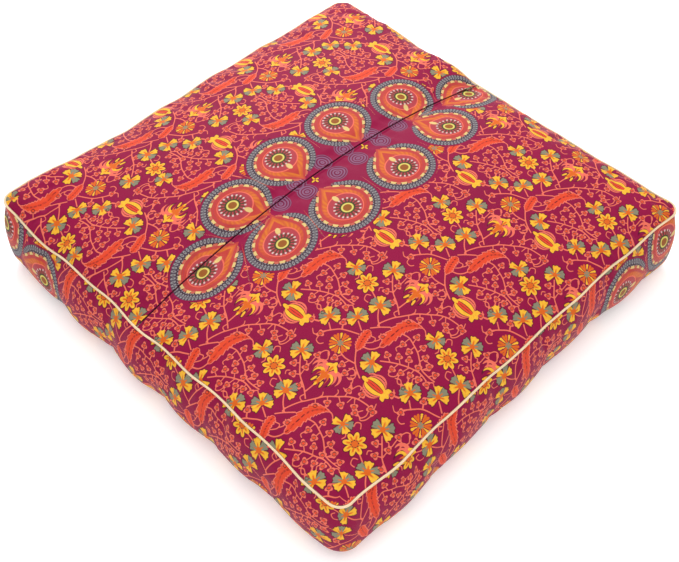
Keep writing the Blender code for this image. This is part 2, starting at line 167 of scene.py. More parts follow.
# The ring of medallions on the top: place along the ring's axis, and half the ring's width there
RING_X, RING_Y = -0.034, 0.040
RING_ROWS = [
    (0.352, 0.0), (0.219, 0.057), (0.066, 0.084), (-0.082, 0.084), (-0.214, 0.060), (-0.338, 0.0),
]
RING_LEAN, RING_LEAN_FROM = 0.42, 0.15
MEDALLION_ACROSS, MEDALLION_ALONG = 0.0600, 0.0690
MEDALLION_MARGIN = 1.06  # in its radii, where the floral print ends
ROSETTES = [
    (0.000, 0.154), (0.012, 0.094), (0.019, 0.025), (0.020, -0.030), (0.0145, -0.102), (0.000, -0.154),
]
ROSETTE_RADIUS = 0.0190
ROSETTE_X = RING_X - 0.007
RING_CROSSES = [(-0.0375, 0.098), (-0.0375, -0.031)]
BAND_MEDALLIONS = [(0.012, 0.046), (0.128, 0.088), (1.630, 0.090), (1.752, 0.050)]

# The repeat of the floral print
REPEAT_X, REPEAT_Y = 0.1875, 0.2170
PRINT_STEP = 0.0005
PRINT_STRETCH = 1.085  # the print is drawn this much shorter than its repeat
PRINT_REACH = 6.0  # millimetres, beyond which distances aren't kept
PRINT_SOFT = 0.55  # millimetres over which a printed edge fades
THREAD_PITCH = 0.0011
PRINTED = ("stem", "leaf", "yellow", "grey", "heart", "ink")
RIGHT_ORIGIN = (0.2675, 0.130)
LEFT_ORIGIN = (-0.1675, -0.038)
BAND_ORIGIN = (0.188, 0.034)


class CushionSizes(bpy.types.PropertyGroup):
    pull_in: bpy.props.FloatProperty(
        name="Pull-in",
        description="How far the sides draw in midway between the corners",
        default=0.0045, min=0.0, max=0.02, unit="LENGTH",
    )
    fullness: bpy.props.FloatProperty(
        name="Fullness",
        description="The crown's shape from left to right: 2 is round, more is flatter",
        default=2.0, min=1.5, max=4.0,
    )
    band_bulge: bpy.props.FloatProperty(
        name="Band bulge",
        description="How far the side band stands out past the piped seam",
        default=BOXING_OUT + 0.001, min=0.0, max=0.03, unit="LENGTH",
    )
    edge_puff: bpy.props.FloatProperty(
        name="Edge puff",
        description="How steeply the top rises beside the piping at its fullest side",
        default=0.025, min=0.0, max=0.035, unit="LENGTH",
    )
    pressure: bpy.props.FloatProperty(
        name="Filling pressure",
        description="How hard the filling presses the cover while the cloth settles",
        default=4.0, min=0.0, max=20.0,
    )
    ease: bpy.props.FloatProperty(
        name="Cloth ease",
        description="How much larger the cloth is than the shape it is sewn to, as a share",
        default=0.016, min=0.0, max=0.06, subtype="FACTOR",
    )


def colour_property(name, description, default):
    return bpy.props.FloatVectorProperty(
        name=name, description=description, default=default,
        size=3, min=0.0, max=1.0, subtype="COLOR",
    )


class CushionColours(bpy.types.PropertyGroup):
    ground: colour_property("Ground", "Plum ground of the print", (0.240, 0.0032, 0.043))
    coral: colour_property("Coral", "Stems, buds and outlines", (0.74, 0.142, 0.092))
    red: colour_property("Leaf red", "Feathered leaves", (0.66, 0.055, 0.022))
    yellow: colour_property("Yellow", "Petals", (0.80, 0.43, 0.032))
    grey: colour_property("Grey", "Grey petals", (0.215, 0.200, 0.130))
    orange: colour_property("Orange", "Flower hearts and the medallions' drops", (0.62, 0.115, 0.012))
    ink: colour_property("Ink", "Darkest printed lines", (0.030, 0.002, 0.012))
    cream: colour_property("Cream", "Pale dashes of the medallions", (0.64, 0.46, 0.17))
    slate: colour_property("Slate", "Beaded rims of the medallions", (0.070, 0.050, 0.068))
    mauve: colour_property("Mauve", "Fields inside the medallions", (0.38, 0.045, 0.058))
    piping: colour_property("Piping", "Pale gold piping", (0.74, 0.56, 0.34))
    metal: colour_property("Slider", "Metal of the slider and its pull", (0.16, 0.115, 0.065))
    calico: colour_property("Inner case", "Cotton of the inner case", (0.80, 0.76, 0.68))
    floor: colour_property("Floor", "Plain pale floor", (0.93, 0.93, 0.925))


def sizes():
    return bpy.context.scene.cushion_sizes


def colours():
    return bpy.context.scene.cushion_colours


# ---------------------------------------------------------------- shape of the sewn cover


def hump(value, spread, centre=0.0):
    """1 at the centre, falling smoothly to nothing a few spreads away."""
    return np.exp(-(((value - centre) / spread) ** 2))


def wave(value, length, phase=0.0):
    """An even wave between -1 and 1."""
    return np.sin(2 * math.pi * value / length + phase)


def corner_round(x, y, half, radius):
    """Moves points of a square's corners onto its rounded corners."""
    start = half - radius
    a = np.clip((np.abs(x) - start) / radius, 0, None)
    b = np.clip((np.abs(y) - start) / radius, 0, None)
    both = (a > 0) & (b > 0)
    shrink = np.where(both, np.maximum(a, b) / np.maximum(np.hypot(a, b), 1e-9), 1.0)
    return (
        np.where(both, np.sign(x) * (start + radius * a * shrink), x),
        np.where(both, np.sign(y) * (start + radius * b * shrink), y),
    )


def edge_place(turn, out):
    """A place on the rounded seam, and out beyond it: turn counts sides from the front left corner."""
    side = np.floor(turn).astype(int) % 4
    along = ((turn % 1.0) * 2 - 1) * HALF
    start = HALF - CORNER_RADIUS
    a = np.clip((np.abs(along) - start) / CORNER_RADIUS, 0, 1)
    shrink = 1 / np.hypot(a, 1.0)
    straight = np.minimum(np.abs(along), start)
    lateral = np.sign(along) * (straight + (CORNER_RADIUS + out) * a * shrink)
    outward = start + (CORNER_RADIUS + out) * shrink
    x = np.choose(side, [lateral, outward, -lateral, -outward])
    y = np.choose(side, [-outward, lateral, outward, -lateral])
    return x, y


def side_share(x):
    """The crown's height from left to right, from 1 at the middle to 0 at the piping."""
    return 1 - np.clip(np.abs(x) / PANEL_HALF, 0, 1) ** sizes().fullness


def arc_share(y):
    """The crown's height along the zip's arc, from 1 at the middle to 0 at the piping."""
    reach = np.clip(np.abs(y), 0, PANEL_HALF)
    return (np.sqrt(ARC_RADIUS**2 - reach**2) - ARC_RADIUS + CROWN) / CROWN


def edge_lift(x, y):
    """How far the piped edge rises or dips, fading in towards the middle of the top."""
    lift = np.zeros_like(x)
    for side in range(4):
        along = (x, y, x, y)[side]
        depth = (HALF + y, HALF - x, HALF - y, HALF + x)[side]
        rise = sum(
            height * hump(along, spread, place)
            for at, place, spread, height in EDGE_DIPS
            if at == side
        )
        for height, length, phase in EDGE_RIPPLES:
            rise = rise + height * wave(along, length, phase + SIDE_PHASE * side)
        calm = np.clip((HALF - np.abs(along)) / CORNER_REACH, 0, 1)
        if side in (0, 2):
            calm = calm * (1 - hump(along, ZIP_LEVEL, ZIP_X))
        lift += rise * calm * hump(np.clip(depth, 0, None), EDGE_FADE)
    return lift


def settle(points):
    """The sewn shape's softness: sides draw in between the corners, and the piped edge rises and dips."""
    x, y, z = points[..., 0], points[..., 1], points[..., 2]
    high = np.clip(z / SEAM_Z, 0, 1) ** 1.4
    away = 1 - hump(x, ZIP_STILL, ZIP_X)
    pull = sizes().pull_in
    in_x = pull * np.sign(x) * (np.abs(x) / HALF) ** 6 * (1 - np.clip(y / HALF, -1, 1) ** 2)
    in_y = pull * np.sign(y) * (np.abs(y) / HALF) ** 6 * (1 - np.clip(x / HALF, -1, 1) ** 2)
    sway_x = SWAY * wave(y, *SWAY_ALONG_Y) * (np.abs(x) / HALF) ** 8
    sway_y = SWAY * wave(x, *SWAY_ALONG_X) * (np.abs(y) / HALF) ** 8
    move_x = sway_x - in_x - SIDE_LEAN[0] * high * np.clip(-x / HALF, 0, 1) ** 4
    move_y = sway_y - in_y + SIDE_LEAN[1] * high * np.clip(y / HALF, 0, 1) ** 4
    lift = edge_lift(x, y)
    for side_x, side_y, outward, rise in CORNER_PULLS:
        near = hump(np.hypot(x - side_x * HALF, y - side_y * HALF), CORNER_REACH)
        move_x = move_x + side_x * outward * near
        move_y = move_y + side_y * outward * near
        lift = lift + rise * near
    return np.stack([x + move_x, y + away * move_y, z + high * lift], -1)


def top_points(x, y, drop=0.0):
    """Points of the crowned top at a square's coordinates, with the small puckers beside its seams."""
    beside = np.abs(x - ZIP_X)
    fuller = 0.5 + (y - x) / PUFF_SPAN
    puff = (1 - hump(beside, PUFF_FROM_ZIP)) * (PUFF_LEAST + (sizes().edge_puff - PUFF_LEAST) * fuller)
    past_x = np.exp((np.abs(x) - PANEL_HALF) / PUFF_CORNER)
    past_y = np.exp((np.abs(y) - PANEL_HALF) / PUFF_CORNER)
    inward = np.clip(-PUFF_CORNER * np.log(past_x + past_y), 0, None)
    level = np.minimum(side_share(x) / side_share(np.array(ZIP_X)), 1.0)
    z = PANEL_Z + (CROWN - puff) * level * arc_share(y)
    z = z + puff * (1 - np.exp(-inward / PUFF_RISE))
    depth, away, spread = ZIP_PUCKER
    folds = wave(y, 0.031, 2.0 * np.sin(y * 23)) * wave(y, 0.083, 1.0)
    z = z + depth * folds * hump(beside, spread, away)
    z = z - ZIP_DIP * hump(beside, ZIP_DIP_REACH) * (beside > ZIP_FOLD)
    depth, away, spread = PIPING_PUCKER
    rim = PANEL_HALF - np.maximum(np.abs(x), np.abs(y))
    along = np.where(np.abs(x) > np.abs(y), y, x)
    folds = wave(along, 0.027, 3 * np.sin(along * 17)) * np.sin(along * 41 + 0.5)
    z = z + depth * folds * hump(rim, spread, away)
    px, py = corner_round(x, y, PANEL_HALF, CORNER_RADIUS - (HALF - PANEL_HALF))
    return settle(np.stack([px, py, z - drop], -1))


def band_outline():
    """Control points (out, height) of the side band, from under the piping to the lower seam."""
    points = [(out, SEAM_Z + rise) for out, rise in BAND_START]
    top_z = points[-1][1]
    seam_out = FLOOR_HALF - HALF
    for out, high in BAND_SHAPE:
        height = FLOOR_SEAM_Z + 0.0006 + (top_z - FLOOR_SEAM_Z) * high
        points.append((out * sizes().band_bulge, height))
    points.append((seam_out, FLOOR_SEAM_Z + 0.0004))
    points.append((seam_out - ALLOWANCE, FLOOR_SEAM_Z))
    return np.array(points)


def band_points(turn, share):
    """Points of the side band at turn round the cushion and share of the way down."""
    outline = band_outline()
    weights = spline_weights(len(outline), share * (len(outline) - 1))
    profile = weights @ outline
    turn_grid, out = np.broadcast_arrays(turn[:, None], profile[None, :, 0])
    height = np.broadcast_to(profile[None, :, 1], out.shape)
    along = turn_grid * 2 * HALF
    corner = np.minimum(turn_grid % 1.0, 1 - turn_grid % 1.0) * 2 * HALF
    down = share[None, :]
    folds = wave(along, 0.034, 2.5 * np.sin(along * 13)) * np.sin(along * 37)
    near_seams = hump(down, 0.10, 0.30) + 1.3 * hump(down, 0.07, 0.86)
    fuller = sum(swell * hump(along, spread, place) for place, spread, swell in FULL_SIDES)
    fuller = (fuller + BAND_SWELL * wave(along, BAND_SWELL_LENGTH, 1.0)) * np.sin(math.pi * down**1.6)
    tuck = BAND_TUCK * hump(corner, BAND_TUCK_REACH) * np.sin(math.pi * down) ** 2
    out = out + BAND_PUCKER * folds * near_seams + fuller - tuck
    x, y = edge_place(turn_grid, out)
    return settle(np.stack([x, y, height], -1))


def floor_points(x, y):
    """Points of the underside: flat where it rests, rolling up to the lower seam."""
    past = np.clip((np.maximum(np.abs(x), np.abs(y)) - (FLOOR_HALF - FLOOR_ROLL)) / FLOOR_ROLL, 0, 1)
    z = (FLOOR_SEAM_Z - 0.0004) * past**2
    px, py = corner_round(x, y, FLOOR_HALF, CORNER_RADIUS - (HALF - FLOOR_HALF))
    return settle(np.stack([px, py, z], -1))


# ---------------------------------------------------------------- settling the cloth


def spline_weights(count, places, wraps=False):
    """Weights that carry values at count even places to other places on a smooth curve through them."""
    places = np.asarray(places, float)
    whole = np.clip(np.floor(places).astype(int), 0, count - (1 if wraps else 2))
    t = places - whole
    parts = [
        (-(t**3) + 2 * t**2 - t) / 2,
        (3 * t**3 - 5 * t**2 + 2) / 2,
        (-3 * t**3 + 4 * t**2 + t) / 2,
        (t**3 - t**2) / 2,
    ]
    weights = np.zeros((len(places), count))
    rows = np.arange(len(places))
    for step, part in enumerate(parts):
        at = whole + step - 1
        at = at % count if wraps else np.clip(at, 0, count - 1)
        np.add.at(weights, (rows, at), part)
    return weights


def new_mesh(name, points, faces):
    """An object from an array of points and an array of quads, shaded smooth."""
    points = np.ascontiguousarray(points, np.float32)
    faces = np.ascontiguousarray(faces, np.int32)
    mesh = bpy.data.meshes.new(name)
    mesh.vertices.add(len(points))
    mesh.vertices.foreach_set("co", points.ravel())
    mesh.loops.add(faces.size)
    mesh.loops.foreach_set("vertex_index", faces.ravel())
    mesh.polygons.add(len(faces))
    mesh.polygons.foreach_set("loop_start", np.arange(0, faces.size, 4, dtype=np.int32))
    mesh.update(calc_edges=True)
    mesh.polygons.foreach_set("use_smooth", np.ones(len(faces), bool))
    made = bpy.data.objects.new(name, mesh)
    bpy.context.scene.collection.objects.link(made)
    return made


def grid_faces(rows, columns, first=0):
    """Quads of a grid of points, whose numbers start at first."""
    at = first + np.arange(rows * columns).reshape(rows, columns)
    return np.stack([at[:-1, :-1], at[:-1, 1:], at[1:, 1:], at[1:, :-1]], -1).reshape(-1, 4)


def border(size, first):
    """Numbers of a square grid's edge points, counterclockwise from its first corner."""
    at = first + np.arange(size * size).reshape(size, size)
    return np.concatenate([at[0, :-1], at[:-1, -1], at[-1, :0:-1], at[:0:-1, 0]])


def coarse_cover():
    """The cover as one closed coarse mesh: (points, faces, held, first points of band and underside)."""
    size = SIM_LINES
    line = np.linspace(-1, 1, size)
    x, y = np.meshgrid(line * PANEL_HALF, line * PANEL_HALF)
    top = top_points(x, y).reshape(-1, 3)
    turns = np.arange(4 * (size - 1)) / (size - 1)
    shares = (np.arange(SIM_ROWS) + 1.0) / (SIM_ROWS + 1)
    band = band_points(turns, shares)
    fx, fy = np.meshgrid(line * FLOOR_HALF, line * FLOOR_HALF)
    under = floor_points(fx, fy).reshape(-1, 3)
    band_first = len(top)
    floor_first = band_first + band.shape[0] * SIM_ROWS
    points = np.concatenate([top, band.reshape(-1, 3), under])
    around = band_first + np.arange(band.shape[0] * SIM_ROWS).reshape(-1, SIM_ROWS)
    table = np.column_stack([border(size, 0), around, border(size, floor_first)])
    ahead = np.roll(table, -1, 0)
    sides = np.stack([table[:, :-1], table[:, 1:], ahead[:, 1:], ahead[:, :-1]], -1).reshape(-1, 4)
    faces = np.concatenate([
        grid_faces(size, size),
        sides,
        grid_faces(size, size, floor_first)[:, ::-1],
    ])
    held = np.zeros(len(points), bool)
    held[:band_first] = np.abs(x - ZIP_X).ravel() < ZIP_HELD
    held[border(size, 0)] = True
    held[border(size, floor_first)] = True
    held[floor_first:] |= under[:, 2] < RESTING
    return points, faces, held, (band_first, floor_first)


_settled = {}


def press(points, faces, held):
    """How far each point of the cover moves when the filling presses it and the held points stay."""
    cover = new_mesh("settling_cover", points, faces)
    group = cover.vertex_groups.new(name="held")
    group.add(np.flatnonzero(held).tolist(), 1.0, "REPLACE")
    settings = cover.modifiers.new("cloth", "CLOTH").settings
    settings.quality = 6
    settings.mass = 0.25
    settings.tension_stiffness = 30
    settings.compression_stiffness = 30
    settings.bending_stiffness = 0.8
    settings.use_pressure = True
    settings.uniform_pressure_force = sizes().pressure
    settings.shrink_min = -sizes().ease
    settings.shrink_max = -sizes().ease
    settings.vertex_group_mass = "held"
    settings.effector_weights.gravity = 0.0
    scene = bpy.context.scene
    for step in range(1, SIM_STEPS + 1):
        scene.frame_set(step)
    graph = bpy.context.evaluated_depsgraph_get()
    result = np.empty(len(points) * 3, np.float32)
    cover.evaluated_get(graph).data.vertices.foreach_get("co", result)
    scene.frame_set(1)
    mesh = cover.data
    bpy.data.objects.remove(cover, do_unlink=True)
    bpy.data.meshes.remove(mesh)
    moved = result.reshape(-1, 3).astype(float) - points
    far = np.linalg.norm(moved, axis=1, keepdims=True)
    return moved / (1 + far / SIM_LIMIT)


def settled_cloth():
    """How far the cloth settles at each coarse point: for the top, the band and the underside."""
    if _settled:
        return _settled
    points, faces, held, (band_first, floor_first) = coarse_cover()
    moved = press(points, faces, held)
    band = moved[band_first:floor_first].reshape(-1, SIM_ROWS, 3)
    ends = np.zeros_like(band[:, :1])
    _settled.update(
        top=moved[:band_first].reshape(SIM_LINES, SIM_LINES, 3),
        under=moved[floor_first:].reshape(SIM_LINES, SIM_LINES, 3),
        band=np.concatenate([ends, band, ends], 1),
        points=points + moved,
        faces=faces,
    )
    return _settled


def carry(moved, rows, columns, wraps=False):
    """Carries the coarse movement to a finer grid."""
    down = spline_weights(moved.shape[0], rows, wraps)
    across = spline_weights(moved.shape[1], columns)
    return np.einsum("ri,ijk,cj->rck", down, moved, across, optimize=True)


# ---------------------------------------------------------------- the print


# The floral repeat in millimetres, with the lotus at 0, 0.
# Branches, each the x and y of its points in turn
STEMS = [
    (0, -20, -1, -37), (-52, -3, -42, -13, -28, -25, -8, -35, 8, -46),
    (-2, -84, -2, -76, 5, -58, 12, -47, 19, -36, 28, -23, 42, -10, 55, 2, 68, 9, 86, 13),
    (-7, -95, 2, -84, 14, -72), (-22, -63, -12, -74, 2, -84), (-30, -100, -14, -108),
    (-58, -46, -40, -52), (34, -67, 48, -63, 62, -66, 77, -71, 90, -79, 102, -86, 118, -86, 130, -84),
    (46, -123, 62, -111, 77, -102, 88, -97, 103, -92, 120, -93),
    (-12, -115, -37, -127, -48, -138, -57, -150), (-62, -134, -50, -141),
    (4, -136, 17, -150, 28, -158, 44, -165), (-12, -156, 2, -158, 20, -154),
    (7, -126, 18, -122, 25, -114, 28, -104),
]
# Buds: x, y, and the place on its branch that each grows from
BUDS = [
    (-33, 16, -31, -2), (-31, -10, -28, -24), (-51, -18, -44, -12), (-38, -31, -30, -25), (47, 9, 50, -2),
    (67, 19, 68, 10), (73, -4, 64, 6), (56, -16, 44, -9), (38, -28, 31, -21), (93, 12, 84, 13),
    (57, -53, 60, -65), (77, -58, 76, -70), (50, -78, 50, -65), (66, -80, 66, -69), (76, -89, 84, -98),
    (61, -97, 71, -104), (46, -108, 57, -113), (69, -120, 70, -108), (83, -114, 86, -98),
    (96, -88, 92, -82), (92, -68, 90, -78), (107, -74, 103, -85), (123, -76, 118, -85),
    (110, -101, 108, -93), (125, -97, 118, -93), (96, -106, 94, -96), (-58, -156, -54, -146),
    (-10, -169, -6, -159), (7, -169, 10, -158), (-107, -9, -101, 2), (-88, 11, -94, 24),
    (21, -176, 24, -160), (-46, -118, -40, -126), (18, -92, 26, -84), (-16, -38, -8, -35),
    (28, -44, 20, -36), (104, -128, 100, -112), (-88, -148, -76, -142),
]
# Curled side shoots, like the branches but thinner
TENDRILS = [
    (-33, 19, -30, 29, -24, 32, -19, 28), (44, 13, 40, 24, 35, 26, 32, 22),
    (49, 13, 52, 24, 57, 26, 60, 22), (93, 8, 96, 0, 93, -8, 87, -8), (34, -2, 38, -5, 38, -13),
    (20, -20, 23, -25, 21, -33), (49, -82, 47, -90, 52, -93), (83, -118, 80, -126, 73, -130, 69, -126),
    (84, -118, 88, -126, 94, -129, 98, -125), (-60, -160, -66, -163, -74, -158),
    (-57, -161, -54, -168, -46, -169, -42, -164), (33, -162, 38, -170, 35, -178, 29, -178),
    (4, -104, 12, -102, 14, -109, 9, -116), (-38, -127, -44, -119), (-86, 6, -87, -4, -92, -11, -97, -9),
    (-42, -4, -38, -2, -34, -7), (-12, -150, -6, -144, -9, -139), (96, -110, 104, -116, 110, -112),
    (-17, -36, -19, -30), (60, 4, 60, -6), (-82, -20, -88, -14, -94, -18, -92, -25),
    (-46, -30, -50, -34, -47, -39), (-24, -170, -16, -178, -22, -186, -30, -184),
    (40, -180, 48, -186, 46, -194, 38, -194), (-56, -100, -62, -94, -58, -87, -52, -90),
    (-84, -84, -78, -78, -82, -70), (14, -44, 8, -52, 0, -50, 1, -43), (50, -150, 56, -144, 62, -146),
    (84, -46, 90, -40, 98, -44, 97, -51), (-18, 16, -22, 8, -17, 2, -11, 6),
    (20, 34, 28, 38, 34, 33, 31, 27), (96, -140, 104, -146, 112, -143),
    (-44, -66, -52, -66, -56, -58, -50, -54), (12, -90, 18, -98, 15, -106),
    (-88, -128, -96, -122, -104, -126), (-48, -112, -42, -106, -46, -100), (-98, -62, -92, -70, -84, -70),
    (-78, -100, -84, -106, -80, -112),
]


def pairs(row):
    """Points from a flat row of their x and y."""
    return list(zip(row[::2], row[1::2]))


class Repeat:
    """One repeat of the floral print, as distances in millimetres, below zero inside a printed shape."""

    def __init__(self):
        self.wide, self.tall = REPEAT_X / MM, REPEAT_Y / MM / PRINT_STRETCH
        self.columns = round(REPEAT_X / PRINT_STEP)
        self.rows = round(REPEAT_Y / PRINT_STEP)
        x = (np.arange(self.columns) + 0.5) * self.wide / self.columns
        y = (np.arange(self.rows) + 0.5) * self.tall / self.rows
        self.x, self.y = np.meshgrid(x, y)
        self.fields = {name: np.full(self.x.shape, PRINT_REACH) for name in PRINTED}

    def near(self, x, y, turn=0.0):
        """Each point's place seen from the nearest copy of x, y, along turn and across it."""
        dx = (self.x - x + self.wide / 2) % self.wide - self.wide / 2
        dy = (self.y - y + self.tall / 2) % self.tall - self.tall / 2
        c, s = math.cos(turn), math.sin(turn)
        return dx * c + dy * s, dy * c - dx * s

    def add(self, name, distance):
        self.fields[name] = np.minimum(self.fields[name], distance)

    @staticmethod
    def oval(u, v, along, across):
        """Distance to an oval round 0, 0 from its two half widths."""
        size = np.sqrt((u / along) ** 2 + (v / across) ** 2)
        steep = np.sqrt((u / along**2) ** 2 + (v / across**2) ** 2) + 1e-6
        return size * (size - 1) / steep

    def spot(self, name, x, y, along, across, turn=0.0):
        self.add(name, self.oval(*self.near(x, y, turn), along, across))

    def trace(self, points):
        """Distance to a smooth line through the points, and how far along it the nearest place is."""
        points = np.array(points, float)
        places = np.linspace(0, len(points) - 1, 5 * (len(points) - 1) + 1)
        line = spline_weights(len(points), places) @ points if len(points) > 2 else points
        nearest = np.full(self.x.shape, 99.0)
        share = np.zeros(self.x.shape)
        for step, (a, b) in enumerate(zip(line, line[1:])):
            dx, dy = self.near(*((a + b) / 2))
            run = (b - a) / 2
            t = np.clip((dx * run[0] + dy * run[1]) / (run @ run + 1e-9), -1, 1)
            far = np.hypot(dx - t * run[0], dy - t * run[1])
            closer = far < nearest
            nearest = np.where(closer, far, nearest)
            share = np.where(closer, (step + (t + 1) / 2) / (len(line) - 1), share)
        return nearest, share

    def stem(self, *points, width=2.3):
        self.add("stem", self.trace(points)[0] - width / 2)

    def tendril(self, *points):
        self.stem(*points, width=1.9)

    def bud(self, x, y, to_x, to_y):
        """A three-pointed bud with a ringed heart, on a short stem that joins the branch."""
        turn = math.atan2(y - to_y, x - to_x)
        u, v = self.near(x, y, turn)
        far, angle = np.hypot(u, v), np.arctan2(v, u)
        self.add("stem", far - 5.5 - 1.5 * np.cos(3 * angle) * (far > 2))
        self.add("ink", np.abs(far - 3.0) - 0.75)
        self.add("leaf", far - 2.2)
        self.tendril((x - 4 * math.cos(turn), y - 4 * math.sin(turn)), (to_x, to_y))

    def petal(self, name, x, y, degrees, length, half):
        """A petal that widens from the heart to a tip with three lobes."""
        u, v = self.near(x, y, math.radians(degrees))
        t = np.clip(v / half, -1.3, 1.3)
        tip = length * (0.97 - 0.09 * t**2) + 0.9 * np.cos(2 * math.pi * t)
        edge = np.abs(v) - (1.2 + (half - 1.2) * np.clip(u / (0.78 * length), 0, 1) ** 0.9)
        self.add(name, np.maximum(np.maximum(edge * 0.94, u - tip), 2.0 - u))
        self.add("heart", self.oval(u - 0.36 * length, v, 0.22 * length, 1.0))
        self.add("ink", np.maximum(np.abs(edge + 0.5) - 0.42, np.maximum(u - tip, 0.42 * length - u)))
        if name == "grey":
            vein = np.abs(v - 0.18 * u) - 0.28
            self.add("ink", np.maximum(vein, np.abs(u - 0.72 * length) - 0.2 * length))

    def flower(self, x, y, length, heart, **petals):
        """A carnation: its petals by colour, each at its angle in degrees, and a heart."""
        for name, angles in petals.items():
            for degrees in angles:
                self.petal(name, x, y, degrees, length, length * 0.385)
        self.spot("heart", x, y, heart, heart)

    def daisy(self, x, y, radius, petals, turn):
        """A ring of even oval petals round a heart."""
        u, v = self.near(x, y, turn)
        far, step = np.hypot(u, v), 2 * math.pi / petals
        off = (np.arctan2(v, u) % step) - step / 2
        along, across = far * np.cos(off), far * np.sin(off)
        self.add("yellow", self.oval(along - radius * 0.66, across, radius * 0.36, radius * 0.215))
        self.add("heart", self.oval(along - radius * 0.50, across, radius * 0.22, radius * 0.06))
        self.add("heart", far - radius * 0.27)

    def thistle(self, x, y, radius, rays):
        """A fringed head whose rays change colour one by one."""
        u, v = self.near(x, y)
        far, step = np.hypot(u, v), 2 * math.pi / rays
        number = np.floor(np.arctan2(v, u) / step).astype(int) % 3
        off = (np.arctan2(v, u) % step) - step / 2
        tip = far - radius * (0.9 + 0.12 * np.cos(off * 9))
        ray = np.maximum(np.abs(off) * far - 0.5 - far * step * 0.30, tip)
        self.add("yellow", np.where(number == 0, ray, 9.0))
        self.add("heart", np.where(number > 0, ray, 9.0))
        self.add("grey", far - radius * 0.30)

    def feather(self, points, width, barbs, slim):
        """A serrated leaf along a line: slim gives the share of its length that is a thin tail."""
        far, share = self.trace(points)
        open_out = np.clip((share - slim) / 0.38, 0, 1)
        body = 1.1 + (width - 1.1) * (3 * open_out**2 - 2 * open_out**3) ** 0.8
        body = body * np.sqrt(np.clip((1.0 - share) / 0.16, 0.0, 1.0))
        saw = (share * barbs) % 1.0
        reach = far - body * (0.78 + 0.34 * saw)
        self.add("stem", reach)
        self.add("leaf", reach + 2.0)
        self.add("ink", np.maximum(np.abs(reach + 2.1) - 0.4, np.abs(saw - 0.55) * 2 - 0.75))
        middle = np.maximum(np.abs(saw - 0.5) * 3 - 1.1, reach + 3.4)
        self.add("ink", np.maximum(np.abs(far - 0.9) - 0.5, middle))
        veins = np.abs(far - body * (0.34 + 0.30 * saw)) - 0.45
        self.add("heart", np.maximum(veins, reach + 2.8))

    def crescent(self, name, x, y, side, outer, inner):
        """A curved petal: an outer oval less an inner one, each its centre and two half widths."""
        outside = self.oval(*self.near(x + side * outer[0], y + outer[1]), *outer[2:])
        inside = self.oval(*self.near(x + side * inner[0], y + inner[1]), *inner[2:])
        self.add(name, np.maximum(outside, -inside))

    def lotus(self, x, y):
        """A palmette: pairs of drooping petals under a bud."""
        for side in (1, -1):
            self.crescent("stem", x, y, side, (15.0, 5, 13.0, 14.0), (16.0, 0.5, 9.8, 12.2))
            self.crescent("stem", x, y, side, (11.0, 1, 10.5, 12.5), (11.8, -3.0, 8.0, 11.0))
            self.crescent("yellow", x, y, side, (9.5, -3.5, 9.5, 11.5), (10.6, -8.0, 6.6, 10.6))
            self.crescent("heart", x, y, side, (5.2, -7, 6.0, 12.0), (6.6, -10.5, 4.0, 9.4))
            self.spot("yellow", x + side * 8.2, y - 14, 6.0, 1.9, -1.35 * side)
            self.spot("yellow", x + side * 6.4, y + 18.5, 6.6, 2.7, -0.62 * side)
        self.spot("yellow", x, y - 15.5, 2.4, 7.0)
        self.spot("yellow", x, y + 19, 3.8, 9.5)
        self.spot("heart", x, y + 14, 1.4, 5.5)
        self.spot("heart", x, y + 2, 2.4, 8.5)

    def pomegranate(self, x, y, turn=0.0):
        """A striped fruit with a fanned crown."""
        u, v = self.near(x, y, turn)
        body = self.oval(u, v, 18.5, 20.5)
        lines = np.abs(v) / np.sqrt(np.clip(1 - (u / 19.5) ** 2, 0.12, 1))
        self.add("yellow", np.maximum(body + 0.4, np.abs(lines - 8.4) - 3.4))
        self.add("stem", np.maximum(body, np.maximum(12.8 - lines, 0.7 - np.abs(lines - 16.6))))
        self.add("leaf", np.maximum(body + 0.6, np.maximum(lines - 4.0, 0.6 - np.abs(lines))))
        for across, half in ((4.6, 0.6), (12.4, 0.6), (16.6, 0.5)):
            self.add("ink", np.maximum(np.abs(lines - across) - half, body + 0.4))
        far, angle = np.hypot(u - 13, v), np.arctan2(v, u - 13)
        fan = np.maximum(np.abs(angle) * far - 1.05 * far, far - 17 * (0.88 + 0.12 * np.cos(angle * 9)))
        self.add("yellow", np.maximum(fan, 4.5 - far))
        self.spot("yellow", x - 20 * math.cos(turn), y - 20 * math.sin(turn), 6.5, 3.2, turn - 0.1)

    def draw(self):
        """Draws every motif of the repeat."""
        for row in STEMS:
            self.stem(*pairs(row))
        for bud in BUDS:
            self.bud(*bud)
        for row in TENDRILS:
            self.tendril(*pairs(row))
        long_leaf = (66, -42, 57, -35, 46, -37, 35, -46, 28, -60, 27, -82, 29, -107)
        self.feather(pairs(long_leaf), 10.8, 13, 0.22)
        self.feather(pairs((7, -139, 3, -128, -2, -114, -5, -98)), 8.6, 9, 0.02)
        self.lotus(0, 0)
        self.pomegranate(71, -158, 0.10)
        self.flower(-58, 5, 19, 4.2, yellow=(120, -6, -112), grey=(56, 190))
        self.daisy(-71, -42, 18.5, 8, 0.2)
        self.flower(-107, -34, 17, 3.6, yellow=(98, -22, -158), grey=(36, -82))
        self.flower(-25, -57, 19, 5.2, yellow=(128, 0, -114), grey=(62, 186))
        self.flower(-36, -96, 18, 4.2, yellow=(134, 34, -96), grey=(86, 206))
        self.flower(-70, -125, 18, 4.6, yellow=(24, 150, -90), grey=(82, 214))
        self.thistle(-22, -146, 18.0, 18)
        self.flower(38, -134, 19, 4.8, yellow=(114, -2, -114), grey=(-56, 180))
        return self

